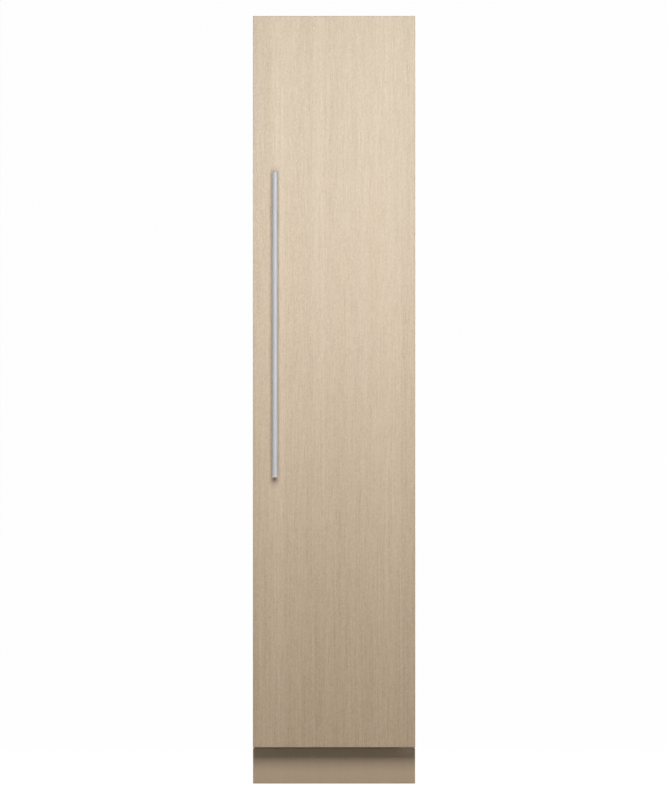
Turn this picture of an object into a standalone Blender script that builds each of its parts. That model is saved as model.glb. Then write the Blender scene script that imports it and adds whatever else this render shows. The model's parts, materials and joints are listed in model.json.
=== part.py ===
"""Integrated column freezer: an oak-fronted built-in appliance with one door hinged on the right.

The model stands on the floor at z = 0. +X is to the right seen from the front, +Y runs to the back.
Every depth below is measured backwards from the front face of the oak door panel.
"""

import math

import bmesh
import bpy
from mathutils import Matrix, Vector

# Overall size
WIDTH = 0.451
HEIGHT = 2.134
CASE_DEPTH = 0.610
FIT = 0.0003  # gap between pieces that touch

# Lengths from front to back, as shares of the cabinet's depth
DEPTH_SHARES = {
    "ladder setback": 0.2213,
    "ice maker head": 0.0984,
    "ice maker foot": 0.0410,
    "condenser setback": 0.1000,
    "condenser": 0.0902,
    "fan motor": 0.0639,
    "electronics box": 0.2295,
}

# Handle on the door panel
HANDLE_RADIUS = 0.008
HANDLE_STANDOFF = 0.032
HANDLE_LENGTH = 0.850
HANDLE_LOW_Z = 0.852
HANDLE_FROM_EDGE = 0.0625
HANDLE_END_ROUND = 0.001
POST_RADIUS = 0.006
POST_INSET = 0.032
HANDLE_REACH = HANDLE_STANDOFF + 2 * HANDLE_RADIUS
HANDLE_X = HANDLE_FROM_EDGE - WIDTH / 2
FRONT_Y = (HANDLE_REACH - CASE_DEPTH) / 2

# Oak boards
PANEL_THICK = 0.019
PANEL_ARRIS = 0.001
TOE_HEIGHT = 0.102
TOE_RECESS = 0.070
TOE_FLOOR_GAP = 0.002
TOE_TOP_GAP = 0.004
TOE_BACK = TOE_RECESS + PANEL_THICK

# Door body behind the panel
DOOR_BODY = 0.061
SEAL_ROOM = 0.012
DOOR_SIDE_INSET = 0.0035
DOOR_BOTTOM_INSET = 0.010
DOOR_TOP_INSET = 0.034
SKIN_THICK = 0.001
CAP_HEIGHT = 0.030
DOOR_LINER_THICK = 0.0025
CASE_FRONT = PANEL_THICK + DOOR_BODY
DOOR_BODY_BACK = CASE_FRONT - SEAL_ROOM
LINER_FACE = DOOR_BODY_BACK + FIT + DOOR_LINER_THICK
DOOR_LOW_Z = TOE_HEIGHT + DOOR_BOTTOM_INSET
DOOR_HIGH_Z = HEIGHT - DOOR_TOP_INSET
DOOR_HALF = WIDTH / 2 - DOOR_SIDE_INSET
DOOR_CORE_HALF = DOOR_HALF - SKIN_THICK - FIT
DOOR_CORE_FRONT = PANEL_THICK + SKIN_THICK + 2 * FIT

# Cabinet
CASE_SIDE_INSET = 0.0015
CASE_TOP_INSET = 0.016
SIDE_BOTTOM_Z = 0.020
SHEET_THICK = 0.0012
FRAME_THICK = 0.002
DECK_Z = 0.245
LINER_WALL = 0.0025
SIDE_FOAM = 0.049
TOP_FOAM = 0.060
BACK_FOAM = 0.065
BOTTOM_FOAM = 0.055
COIL_SPACE = 0.080
CASE_HALF = WIDTH / 2 - CASE_SIDE_INSET
CASE_TOP_Z = HEIGHT - CASE_TOP_INSET
INNER_HALF = CASE_HALF - SHEET_THICK - FIT
INNER_FRONT = CASE_FRONT + FRAME_THICK + FIT
BACK_FACE = CASE_DEPTH - SHEET_THICK - FIT
CAVITY_HALF = CASE_HALF - SIDE_FOAM
CAVITY_FLOOR_Z = DECK_Z + BOTTOM_FOAM
CAVITY_TOP_Z = CASE_TOP_Z - TOP_FOAM
CAVITY_BACK = CASE_DEPTH - BACK_FOAM
COVER_DEPTH = CAVITY_BACK - COIL_SPACE

# Raised rim of the door liner, and the gasket round it
RIM_CLEARANCE = 0.007
RIM_WALL = 0.0095
RIM_REACH = 0.020
GASKET_OVERLAP_X = 0.037
GASKET_OVERLAP_Z = 0.034
GASKET_WIDTH = 0.026
RIM_OUTER_HALF = CAVITY_HALF - RIM_CLEARANCE
RIM_INNER_HALF = RIM_OUTER_HALF - RIM_WALL
RIM_BACK = CASE_FRONT + RIM_REACH
GASKET_OUTER_HALF = CAVITY_HALF + GASKET_OVERLAP_X

# Hinge: one vertical pivot on the right
PIVOT_SIDE_INSET = 0.0125
PIVOT_BEHIND_PANEL = 0.012
PIN_RADIUS = 0.005
PIN_CLEARANCE = 0.0003
PIN_REACH = 0.022
EYE_RADIUS = 0.009
COLLAR_RADIUS = 0.0078
ARM_LEFT_REACH = 0.030
ARM_RIGHT_REACH = 0.002
ARM_SHOULDER = 0.019
ARM_THICK = 0.006
FLANGE_THICK = 0.0027
FLANGE_HEIGHT = 0.021
FLANGE_WIDTH = 0.060
FLANGE_LIFT = 0.0005
TOP_ARM_GAP = 0.004
BOTTOM_ARM_DROP = 0.008
PIVOT_X = WIDTH / 2 - PIVOT_SIDE_INSET
PIVOT_DEPTH = PANEL_THICK + PIVOT_BEHIND_PANEL
BOTTOM_ARM_Z = DOOR_LOW_Z - BOTTOM_ARM_DROP
BOTTOM_FLANGE_Z = TOE_HEIGHT + FLANGE_LIFT

# Wall ladders that carry the drawers, the shelves and the ice bin
LADDER_SETBACK = CASE_DEPTH * DEPTH_SHARES["ladder setback"]
LADDER_BACK_GAP = 0.010
LADDER_THICK = 0.0025
LADDER_TOP_GAP = 0.060
LADDER_BOTTOM_GAP = 0.010
LEDGE_REACH = 0.037
LEDGE_THICK = 0.008
LADDER_FRONT = CASE_FRONT + LADDER_SETBACK
LADDER_BACK = COVER_DEPTH - LADDER_BACK_GAP
LEDGE_HALF = CAVITY_HALF - LEDGE_REACH

# Drawers
DRAWER_COUNT = 3
DRAWER_LIFT = 0.028
DRAWER_PITCH = 0.158
DRAWER_SIDE_GAP = 0.0045
DRAWER_HEIGHT = 0.130
DRAWER_WALL = 0.0025
DRAWER_EDGE_ROUND = 0.008
DRAWER_FRONT_SETBACK = 0.002
FRONT_PLATE_LAP = 0.001
FRONT_PLATE_THICK = 0.0035
FRONT_PLATE_DROP = 0.007
FRONT_PLATE_RISE = 0.012
LIP_REACH = 0.0095
LIP_THICK = 0.004
DRAWER_FIRST_Z = CAVITY_FLOOR_Z + DRAWER_LIFT
DRAWER_HALF = RIM_INNER_HALF - DRAWER_SIDE_GAP
FRONT_PLATE_HALF = DRAWER_HALF + FRONT_PLATE_LAP
FRONT_PLATE_BACK = LADDER_FRONT - DRAWER_FRONT_SETBACK

# Ice bin, and the shelves spread evenly between it and the drawers
ICE_ROOM = 0.358
ICE_BIN_HEIGHT = 0.092
ICE_BIN_WALL = 0.003
ICE_BIN_EDGE_ROUND = 0.010
ICE_LIP_REACH = 0.008
ICE_LIP_HEIGHT = 0.010
ICE_LIP_HALF = 0.060
SHELF_COUNT = 3
SHELF_SIDE_GAP = 0.007
SHELF_OVERHANG = 0.010
SHELF_THICK = 0.005
SHELF_ARRIS = 0.0008
SHELF_DROP = 0.002
ICE_BIN_Z = CAVITY_TOP_Z - ICE_ROOM
SHELF_HALF = CAVITY_HALF - SHELF_SIDE_GAP
SHELF_FRONT = LADDER_FRONT - SHELF_OVERHANG
SHELF_FIRST_Z = DRAWER_FIRST_Z + DRAWER_COUNT * DRAWER_PITCH - SHELF_DROP
SHELF_PITCH = (ICE_BIN_Z - SHELF_FIRST_Z) / SHELF_COUNT

# Door bins, which lift off lugs on the liner
BIN_COUNT = 3
BIN_LIFT = 0.050
BIN_SIDE_GAP = 0.0135
BIN_DEPTH = 0.100
BIN_HEIGHT = 0.110
BIN_WALL = 0.003
BIN_EDGE_ROUND = 0.006
EAR_REACH = 0.010
EAR_START = 0.003
EAR_DEPTH = 0.018
EAR_LOW = 0.060
EAR_HEIGHT = 0.040
LUG_HEIGHT = 0.025
LUG_DEPTH = 0.024
LUG_GAP = 0.001
BIN_HALF = RIM_INNER_HALF - BIN_SIDE_GAP
BIN_FIRST_Z = SHELF_FIRST_Z + BIN_LIFT
BIN_PITCH = (ICE_BIN_Z - BIN_FIRST_Z) / BIN_COUNT

# Ice maker over the ice bin
MAKER_CENTRE_X = -0.055
MAKER_HALF = 0.065
MAKER_SETBACK = 0.010
MAKER_DROP = 0.103
MAKER_HEIGHT = 0.125
MAKER_HEAD_DEPTH = CASE_DEPTH * DEPTH_SHARES["ice maker head"]
MAKER_FOOT_DEPTH = CASE_DEPTH * DEPTH_SHARES["ice maker foot"]
MAKER_ROOF_THICK = 0.005
TRAY_PIVOT_DROP = 0.070
TRAY_HALF = 0.048
TRAY_RISE = 0.005
TRAY_DROP = 0.028
TRAY_END_GAP = 0.005
TRAY_PIN_RADIUS = 0.004
TRAY_PIN_OVERLAP = 0.002
TRAY_ROWS = 3
TRAY_COLUMNS = 2
TRAY_WALL = 0.003
ARM_OFFSET_X = 0.055
ARM_RISE = 0.015
ARM_WIRE_RADIUS = 0.0018
ARM_WIRE_REACH = 0.038
ARM_REST_ANGLE = math.radians(-60)
ARM_WIRE_INSET = 0.012
ARM_WIRE_BEND = 0.008
MAKER_FRONT = LADDER_FRONT + MAKER_SETBACK
MAKER_BACK = COVER_DEPTH - FIT
MAKER_HIGH_Z = CAVITY_TOP_Z - MAKER_DROP
MAKER_LOW_Z = MAKER_HIGH_Z - MAKER_HEIGHT
TRAY_PIVOT_Z = MAKER_HIGH_Z - TRAY_PIVOT_DROP
TRAY_FRONT = MAKER_FRONT + MAKER_HEAD_DEPTH + TRAY_END_GAP
TRAY_BACK = MAKER_BACK - MAKER_FOOT_DEPTH - TRAY_END_GAP
ARM_PIVOT_X = MAKER_CENTRE_X + ARM_OFFSET_X
ARM_PIVOT_Z = MAKER_LOW_Z + ARM_RISE

# Cold air circuit behind the drawers and shelves
COVER_THICK = 0.003
COVER_SLOT_INSET = 0.065
COVER_SLOT_HEIGHT = 0.008
COVER_SLOT_PITCH = 0.022
RETURN_SLOT_LIFT = 0.045
RETURN_SLOT_COUNT = 4
SUPPLY_SLOT_DROP = 0.180
SUPPLY_SLOT_COUNT = 5
EVAPORATOR_SIDE_GAP = 0.035
EVAPORATOR_LIFT = 0.120
EVAPORATOR_HEIGHT = 0.340
EVAPORATOR_AIR_GAP = 0.015
EVAPORATOR_SPINE = 0.014
EVAPORATOR_FINS = 18
EVAPORATOR_FIN_THICK = 0.0016
COLD_FAN_LIFT = 0.140
COLD_FAN_RADIUS = 0.055
COLD_FAN_HUB = 0.017
COLD_FAN_THICK = 0.020
COLD_MOTOR_RADIUS = 0.020
COLD_MOTOR_LENGTH = 0.022
COVER_SLOT_HALF = CAVITY_HALF - COVER_SLOT_INSET
RETURN_SLOT_Z = CAVITY_FLOOR_Z + RETURN_SLOT_LIFT
SUPPLY_SLOT_Z = ICE_BIN_Z - SUPPLY_SLOT_DROP
EVAPORATOR_HALF = CAVITY_HALF - EVAPORATOR_SIDE_GAP
EVAPORATOR_LOW_Z = CAVITY_FLOOR_Z + EVAPORATOR_LIFT
EVAPORATOR_HIGH_Z = EVAPORATOR_LOW_Z + EVAPORATOR_HEIGHT
EVAPORATOR_FRONT = COVER_DEPTH + EVAPORATOR_AIR_GAP
COLD_FAN_Z = EVAPORATOR_HIGH_Z + COLD_FAN_LIFT

# Ceiling fittings
PANEL_SETBACK = 0.030
PANEL_LIGHT_GAP = 0.015
PANEL_SIDE_GAP = 0.055
PANEL_DROP = 0.036
PANEL_LIP = 0.013
PANEL_SLOPE = 0.020
LIGHT_LENGTH = 0.030
LIGHT_SIDE_GAP = 0.025
LIGHT_DROP = 0.012
LIGHT_ROUND = 0.003
PANEL_FRONT = CASE_FRONT + PANEL_SETBACK
PANEL_BACK = LADDER_FRONT - PANEL_LIGHT_GAP
PANEL_HALF = CAVITY_HALF - PANEL_SIDE_GAP
LIGHT_HALF = CAVITY_HALF - LIGHT_SIDE_GAP

# Base frame, feet and rollers
PAN_LOW_Z = 0.045
PAN_THICK = 0.002
PAN_TOP_Z = 0.100
PAN_BACK_INSET = 0.004
FOOT_SIDE_INSET = 0.0375
FOOT_SETBACK = 0.041
FOOT_PAD_RADIUS = 0.018
FOOT_PAD_THICK = 0.006
FOOT_NECK_RADIUS = 0.010
FOOT_NECK_TOP = 0.016
FOOT_STEM_RADIUS = 0.005
FOOT_STEM_TOP = 0.070
FOOT_EDGE = 0.001
BOSS_RADIUS = 0.011
BOSS_TOP_Z = 0.060
STEM_CLEARANCE = 0.0003
ROLLER_INSET = 0.046
ROLLER_RADIUS = 0.020
ROLLER_WIDTH = 0.024
ROLLER_EDGE = 0.002
AXLE_RADIUS = 0.004
AXLE_CLEARANCE = 0.0003
FORK_THICK = 0.003
FORK_SIDE_GAP = 0.0005
FORK_HALF = 0.012
FORK_LOW_Z = 0.010
PAN_FLOOR_Z = PAN_LOW_Z + PAN_THICK
PAN_BACK = CASE_DEPTH - PAN_BACK_INSET
FOOT_X = INNER_HALF - FOOT_SIDE_INSET
FOOT_DEPTH = TOE_BACK + FOOT_SETBACK
ROLLER_DEPTH = PAN_BACK - ROLLER_INSET
MACHINE_FLOOR_Z = PAN_FLOOR_Z + FIT

# Condenser, its fan and the shroud
CONDENSER_SIDE_GAP = 0.0275
CONDENSER_RIGHT = 0.005
CONDENSER_SETBACK = CASE_DEPTH * DEPTH_SHARES["condenser setback"]
CONDENSER_THICK = CASE_DEPTH * DEPTH_SHARES["condenser"]
CONDENSER_SPINE = 0.012
CONDENSER_HEIGHT = 0.165
CONDENSER_FINS = 16
CONDENSER_FIN_THICK = 0.0016
SHROUD_GAP = 0.008
SHROUD_PLATE_THICK = 0.003
SHROUD_HEIGHT = 0.188
SHROUD_HOLE = 0.072
SHROUD_RING = 0.003
SHROUD_RING_LENGTH = 0.029
FAN_RADIUS = 0.068
FAN_HUB = 0.019
FAN_SETBACK = 0.0025
FAN_THICK = 0.020
BLADE_COUNT = 5
BLADE_THICK = 0.002
BLADE_CHORD_SHARE = 0.52
BLADE_PITCH = math.radians(32)
MOTOR_RADIUS = 0.022
MOTOR_LENGTH = CASE_DEPTH * DEPTH_SHARES["fan motor"]
SPIDER_ARMS = 3
SPIDER_WIDTH = 0.008
SPIDER_THICK = 0.005
CONDENSER_LEFT = CONDENSER_SIDE_GAP - INNER_HALF
CONDENSER_FRONT = TOE_BACK + CONDENSER_SETBACK
CONDENSER_BACK = CONDENSER_FRONT + CONDENSER_THICK
SHROUD_FRONT = CONDENSER_BACK + SHROUD_GAP
SHROUD_RING_BACK = SHROUD_FRONT + SHROUD_RING_LENGTH
FAN_X = (CONDENSER_LEFT + CONDENSER_RIGHT) / 2
FAN_Z = PAN_FLOOR_Z + SHROUD_HEIGHT / 2
FAN_FRONT = SHROUD_FRONT + FAN_SETBACK
MOTOR_FRONT = FAN_FRONT + FAN_THICK + FIT
MOTOR_BACK = MOTOR_FRONT + MOTOR_LENGTH

# Compressor and its tube
COMPRESSOR_X = 0.085
COMPRESSOR_INSET = 0.106
COMPRESSOR_RADIUS = 0.070
COMPRESSOR_WELD_REACH = 0.005
COMPRESSOR_WELD_RISE = 0.095
COMPRESSOR_WELD_HEIGHT = 0.008
COMPRESSOR_HEIGHT = 0.160
COMPRESSOR_LOW = 0.014
COMPRESSOR_PLATE_HALF_X = 0.085
COMPRESSOR_PLATE_HALF_Y = 0.062
COMPRESSOR_PLATE_LOW = 0.010
COMPRESSOR_PLATE_THICK = 0.006
GROMMET_RADIUS = 0.010
GROMMET_HEIGHT = 0.018
GROMMET_INSET = 0.012
STUB_OFFSET = 0.040
STUB_TOP = 0.155
TUBE_RADIUS = 0.004
TUBE_CLEARANCE_Z = 0.020
TUBE_BEND = 0.016
COMPRESSOR_DEPTH = PAN_BACK - COMPRESSOR_INSET

# Electronics box and drain pan
BOX_SIDE_GAP = 0.0175
BOX_RIGHT = -0.065
BOX_LENGTH = CASE_DEPTH * DEPTH_SHARES["electronics box"]
BOX_BACK_GAP = 0.026
BOX_HEIGHT = 0.100
BOX_ROUND = 0.003
DRAIN_RIGHT = -0.015
DRAIN_FRONT_GAP = 0.025
DRAIN_BACK_GAP = 0.015
DRAIN_HEIGHT = 0.030
DRAIN_WALL = 0.0025
BOX_LEFT = BOX_SIDE_GAP - INNER_HALF
BOX_BACK = PAN_BACK - BOX_BACK_GAP
BOX_FRONT = BOX_BACK - BOX_LENGTH
DRAIN_FRONT = MOTOR_BACK + DRAIN_FRONT_GAP
DRAIN_BACK = BOX_FRONT - DRAIN_BACK_GAP

# Rear cover with the power inlet and the water valve
COVER_LOW_Z = 0.030
LOUVRE_LOW_Z = 0.115
LOUVRE_COUNT = 6
LOUVRE_PITCH = 0.018
LOUVRE_HEIGHT = 0.006
LOUVRE_INNER_X = 0.030
LOUVRE_SIDE_GAP = 0.0725
INLET_SIDE_GAP = 0.0375
INLET_Z = 0.170
INLET_FLANGE_HALF_X = 0.022
INLET_FLANGE_HALF_Z = 0.015
INLET_BODY_HALF_X = 0.014
INLET_BODY_HALF_Z = 0.010
INLET_BODY_LENGTH = 0.030
INLET_SOCKET_HALF_X = 0.011
INLET_SOCKET_HALF_Z = 0.007
INLET_SOCKET_DEEP = 0.016
VALVE_SIDE_GAP = 0.0325
VALVE_Z = 0.150
VALVE_HALF_X = 0.018
VALVE_HALF_Z = 0.022
VALVE_THICK = 0.034
VALVE_FITTING_RADIUS = 0.010
VALVE_COIL_RADIUS = 0.013
VALVE_COIL_HEIGHT = 0.030
HOLE_CLEARANCE = 0.0005
REAR_COVER_FRONT = PAN_BACK + FIT
REAR_COVER_BACK = REAR_COVER_FRONT + SHEET_THICK
LOUVRE_OUTER_X = INNER_HALF - LOUVRE_SIDE_GAP
INLET_X = INLET_SIDE_GAP - INNER_HALF
VALVE_X = INNER_HALF - VALVE_SIDE_GAP
VALVE_BACK = REAR_COVER_FRONT - FIT
VALVE_FRONT = VALVE_BACK - VALVE_THICK

# Anti-tip bracket on the roof
TIP_HALF = 0.060
TIP_LENGTH = 0.070
TIP_THICK = 0.002
TIP_HEIGHT = 0.0145

# Facets of round pieces, and how far a joined or cutting form runs past its surface
ROUND_SIDES = 32
SMALL_SIDES = 20
OVERRUN = 0.002
WELD = 0.00001
SMOOTH_ANGLE = math.radians(35)
OPEN_SIDE_COSINE = 0.5  # a face this near the open way is the one taken off

# Colour, metallic value and roughness of each finish
FINISHES = {
    "oak": ((0.680, 0.590, 0.450, 1), 0, 0.55),
    "stainless": ((0.620, 0.610, 0.590, 1), 1, 0.28),
    "white_plastic": ((0.820, 0.830, 0.830, 1), 0, 0.35),
    "clear_plastic": ((0.780, 0.830, 0.850, 1), 0, 0.12),
    "glass": ((0.700, 0.820, 0.800, 1), 0, 0.05),
    "grey_paint": ((0.360, 0.370, 0.380, 1), 0, 0.45),
    "galvanised": ((0.520, 0.530, 0.540, 1), 1, 0.45),
    "black_plastic": ((0.030, 0.030, 0.032, 1), 0, 0.50),
    "black_paint": ((0.020, 0.020, 0.022, 1), 0, 0.35),
    "foam": ((0.780, 0.700, 0.480, 1), 0, 0.90),
    "rubber": ((0.600, 0.600, 0.600, 1), 0, 0.75),
    "aluminium": ((0.700, 0.710, 0.720, 1), 1, 0.40),
    "copper": ((0.720, 0.380, 0.240, 1), 1, 0.30),
    "nylon": ((0.080, 0.080, 0.085, 1), 0, 0.45),
}

# The plane of a flat outline, as the turn that brings its own plane there
PLANE_TURNS = {
    "XY": Matrix.Identity(4),
    "XZ": Matrix.Rotation(math.pi / 2, 4, "X"),
    "YZ": Matrix(((0, 0, 1, 0), (1, 0, 0, 0), (0, 1, 0, 0), (0, 0, 0, 1))),
}
ROD_TURNS = {
    "X": Matrix.Rotation(math.pi / 2, 4, "Y"),
    "Y": Matrix.Rotation(math.pi / 2, 4, "X"),
    "Z": Matrix.Identity(4),
}


def clear_scene():
    for old in list(bpy.data.objects):
        bpy.data.objects.remove(old, do_unlink=True)


def new_collection(name):
    collection = bpy.data.collections.new(name)
    bpy.context.scene.collection.children.link(collection)
    return collection


def finish_material(part_name, finish):
    colour, metallic, roughness = FINISHES[finish]
    material = bpy.data.materials.new(part_name + "_" + finish)
    material.diffuse_color = colour
    material.use_nodes = True
    shader = material.node_tree.nodes["Principled BSDF"]
    shader.inputs["Base Color"].default_value = colour
    shader.inputs["Metallic"].default_value = metallic
    shader.inputs["Roughness"].default_value = roughness
    return material


def world_place(obj):
    """Where an object's origin lies; nothing that is parented is turned at rest."""
    place = Vector((0, 0, 0))
    while obj:
        place += obj.location
        obj = obj.parent
    return place


def carrier(name, x, depth, z, parent=None):
    """An empty on a joint's axis, which carries the pieces that move with it."""
    empty = bpy.data.objects.new(name, None)
    empty.empty_display_size = PANEL_THICK
    empty.location = Vector((x, FRONT_Y + depth, z))
    if parent:
        empty.location -= world_place(parent)
        empty.parent = parent
    PARTS.objects.link(empty)
    return empty


def middle_of(mesh):
    """The centre of a mesh's own box."""
    places = [vertex.co for vertex in mesh.vertices]
    return Vector([(min(p[i] for p in places) + max(p[i] for p in places)) / 2 for i in range(3)])


def put(name, mesh, collection, parent):
    """Give a mesh that is built in place an object whose origin is the mesh's centre."""
    centre = middle_of(mesh)
    mesh.transform(Matrix.Translation(-centre))
    obj = bpy.data.objects.new(name, mesh)
    obj.location = centre + Vector((0, FRONT_Y, 0))
    if parent:
        obj.location -= world_place(parent)
        obj.parent = parent
    collection.objects.link(obj)
    return obj


def add_part(name, mesh, finish, parent=None):
    mesh.name = name
    part = put(name, mesh, PARTS, parent)
    mesh.materials.append(finish_material(name, finish))
    return part


def combine(part, operation, mesh):
    """Join a form to a part, or cut it out of the part."""
    tool = put(part.name + "_" + operation.lower(), mesh, TOOLS, part)
    tool.hide_render = True
    tool.display_type = "WIRE"
    modifier = part.modifiers.new(operation.capitalize(), "BOOLEAN")
    modifier.operation = operation
    modifier.object = tool


def join(part, mesh):
    combine(part, "UNION", mesh)


def cut(part, mesh):
    combine(part, "DIFFERENCE", mesh)


def bevel(part, width, segments=1):
    modifier = part.modifiers.new("Bevel", "BEVEL")
    modifier.width = width
    modifier.segments = segments
    modifier.limit_method = "ANGLE"


def wall(part, thickness):
    """Turn an open surface into a shell that grows inwards."""
    modifier = part.modifiers.new("Wall", "SOLIDIFY")
    modifier.thickness = thickness
    modifier.offset = -1
    modifier.use_even_offset = True


def mesh_from(form):
    mesh = bpy.data.meshes.new("form")
    form.to_mesh(mesh)
    form.free()
    return mesh


def box(x, depth, z):
    """A box from its low and high side along each direction."""
    low = Vector((x[0], depth[0], z[0]))
    high = Vector((x[1], depth[1], z[1]))
    form = bmesh.new()
    bmesh.ops.create_cube(form, size=1)
    bmesh.ops.scale(form, vec=high - low, verts=form.verts)
    bmesh.ops.translate(form, vec=(low + high) / 2, verts=form.verts)
    return mesh_from(form)


def open_box(x, depth, z, open_side, edge_round=0):
    """A box without its front or its top, with rounded upright or lengthways edges."""
    form = bmesh.new()
    form.from_mesh(box(x, depth, z))
    away = Vector((0, -1, 0)) if open_side == "front" else Vector((0, 0, 1))
    form.normal_update()
    lid = [face for face in form.faces if face.normal.dot(away) > OPEN_SIDE_COSINE]
    bmesh.ops.delete(form, geom=lid, context="FACES")
    if edge_round:
        edges = [edge for edge in form.edges if len(edge.link_faces) == 2]
        bmesh.ops.bevel(form, geom=edges, offset=edge_round, segments=2, profile=0.5, affect="EDGES")
    return mesh_from(form)


def rod(axis, across, along, radius, sides=SMALL_SIDES):
    """A round bar along an axis. across holds its other two coordinates, in order."""
    middle = sum(along) / 2
    centre = list(across)
    centre.insert("XYZ".index(axis), middle)
    form = bmesh.new()
    length = along[1] - along[0]
    bmesh.ops.create_cone(
        form, cap_ends=True, segments=sides, radius1=radius, radius2=radius, depth=length
    )
    bmesh.ops.transform(form, matrix=ROD_TURNS[axis], verts=form.verts)
    bmesh.ops.translate(form, vec=centre, verts=form.verts)
    mesh = mesh_from(form)
    mesh.shade_smooth()
    mesh.set_sharp_from_angle(angle=SMOOTH_ANGLE)
    return mesh


def flat_curve(loops, thickness):
    """A 2D curve of closed outlines, the first round the others, with a thickness."""
    curve = bpy.data.curves.new("outline", "CURVE")
    curve.dimensions = "2D"
    curve.fill_mode = "BOTH"
    curve.extrude = thickness / 2
    for loop in loops:
        spline = curve.splines.new("POLY")
        spline.points.add(len(loop) - 1)
        for point, (across, up) in zip(spline.points, loop):
            point.co = (across, up, 0, 1)
        spline.use_cyclic_u = True
    return curve


def plate(plane, loops, along):
    """A flat outline with any holes in it, in a plane, from one side to the other."""
    guide = bpy.data.objects.new("outline", flat_curve(loops, along[1] - along[0]))
    TOOLS.objects.link(guide)
    bpy.context.view_layer.update()
    evaluated = guide.evaluated_get(bpy.context.evaluated_depsgraph_get())
    mesh = bpy.data.meshes.new_from_object(evaluated)
    bpy.data.objects.remove(guide, do_unlink=True)
    form = bmesh.new()
    form.from_mesh(mesh)
    bmesh.ops.remove_doubles(form, verts=form.verts, dist=WELD)
    bmesh.ops.dissolve_limit(form, angle_limit=WELD, verts=form.verts, edges=form.edges)
    bmesh.ops.triangulate(form, faces=form.faces)
    bmesh.ops.recalc_face_normals(form, faces=form.faces)
    bmesh.ops.transform(form, matrix=PLANE_TURNS[plane], verts=form.verts)
    offset = {"XY": 2, "XZ": 1, "YZ": 0}[plane]
    shift = Vector((0, 0, 0))
    shift[offset] = sum(along) / 2
    bmesh.ops.translate(form, vec=shift, verts=form.verts)
    return mesh_from(form)


def rectangle(across, up):
    return [(across[0], up[0]), (across[1], up[0]), (across[1], up[1]), (across[0], up[1])]


def arc(centre, radius, start, end, steps):
    """Points on an arc, its angles counted from the first direction towards the second."""
    points = []
    for step in range(steps + 1):
        angle = start + (end - start) * step / steps
        points.append((centre[0] + radius * math.cos(angle), centre[1] + radius * math.sin(angle)))
    return points


def circle(centre, radius, sides=ROUND_SIDES):
    return arc(centre, radius, 0, 2 * math.pi, sides)[:-1]


def rounded_path(corners, bend, steps=4):
    """A path through corners, each turned into a short curve."""
    path = [corners[0]]
    for before, corner, after in zip(corners, corners[1:], corners[2:]):
        start = corner + (before - corner).normalized() * bend
        end = corner + (after - corner).normalized() * bend
        for step in range(steps + 1):
            share = step / steps
            path.append(start.lerp(corner, share).lerp(corner.lerp(end, share), share))
    path.append(corners[-1])
    return path


def add_tube(name, corners, radius, bend, finish, parent=None):
    """A round wire or tube along a path, as a bevelled curve with filled ends."""
    points = rounded_path([Vector(corner) for corner in corners], bend)
    curve = bpy.data.curves.new(name, "CURVE")
    curve.dimensions = "3D"
    curve.bevel_depth = radius
    curve.bevel_resolution = 2
    curve.use_fill_caps = True
    spline = curve.splines.new("POLY")
    spline.points.add(len(points) - 1)
    for point, place in zip(spline.points, points):
        point.co = (*(place - points[0]), 1)
    spline.use_smooth = True
    tube = bpy.data.objects.new(name, curve)
    tube.location = points[0] + Vector((0, FRONT_Y, 0))
    if parent:
        tube.location -= world_place(parent)
        tube.parent = parent
    curve.materials.append(finish_material(name, finish))
    PARTS.objects.link(tube)
    return tube


def add_turned(name, profile, place, finish, parent=None, turn=(0, 0, 0), sides=ROUND_SIDES):
    """A turned piece from its profile, listed from the top down as (radius, height) pairs."""
    form = bmesh.new()
    ring = [form.verts.new((radius, 0, height)) for radius, height in profile]
    for upper, lower in zip(ring, ring[1:]):
        form.edges.new((upper, lower))
    mesh = mesh_from(form)
    mesh.name = name
    mesh.materials.append(finish_material(name, finish))
    part = bpy.data.objects.new(name, mesh)
    part.location = Vector((place[0], FRONT_Y + place[1], place[2]))
    part.rotation_euler = turn
    if parent:
        part.location -= world_place(parent)
        part.parent = parent
    PARTS.objects.link(part)
    screw = part.modifiers.new("Turn", "SCREW")
    screw.steps = sides
    screw.render_steps = sides
    screw.use_merge_vertices = True
    screw.merge_threshold = WELD
    return part


def level(first, pitch, index):
    return first + pitch * index


def add_oak_boards(door):
    panel = add_part(
        "door_panel",
        box((-WIDTH / 2, WIDTH / 2), (0, PANEL_THICK), (TOE_HEIGHT, HEIGHT)),
        "oak",
        door,
    )
    bevel(panel, PANEL_ARRIS, 2)
    board = add_part(
        "toe_kick_panel",
        box((-WIDTH / 2, WIDTH / 2), (TOE_RECESS, TOE_BACK), (TOE_FLOOR_GAP, TOE_HEIGHT - TOE_TOP_GAP)),
        "oak",
    )
    bevel(board, PANEL_ARRIS)


def add_handle(door):
    centre_depth = -HANDLE_STANDOFF - HANDLE_RADIUS
    high_z = HANDLE_LOW_Z + HANDLE_LENGTH
    bar = add_part(
        "handle_bar",
        rod("Z", (HANDLE_X, centre_depth), (HANDLE_LOW_Z, high_z), HANDLE_RADIUS, ROUND_SIDES),
        "stainless",
        door,
    )
    bevel(bar, HANDLE_END_ROUND, 2)
    post_heights = {
        "handle_post_bottom": HANDLE_LOW_Z + POST_INSET,
        "handle_post_top": high_z - POST_INSET,
    }
    for name, z in post_heights.items():
        post = add_part(
            name, rod("Y", (HANDLE_X, z), (centre_depth, -FIT), POST_RADIUS), "stainless", door
        )
        reach = 2 * POST_RADIUS
        cut(
            post,
            rod("Z", (HANDLE_X, centre_depth), (z - reach, z + reach), HANDLE_RADIUS + FIT, ROUND_SIDES),
        )


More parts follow.
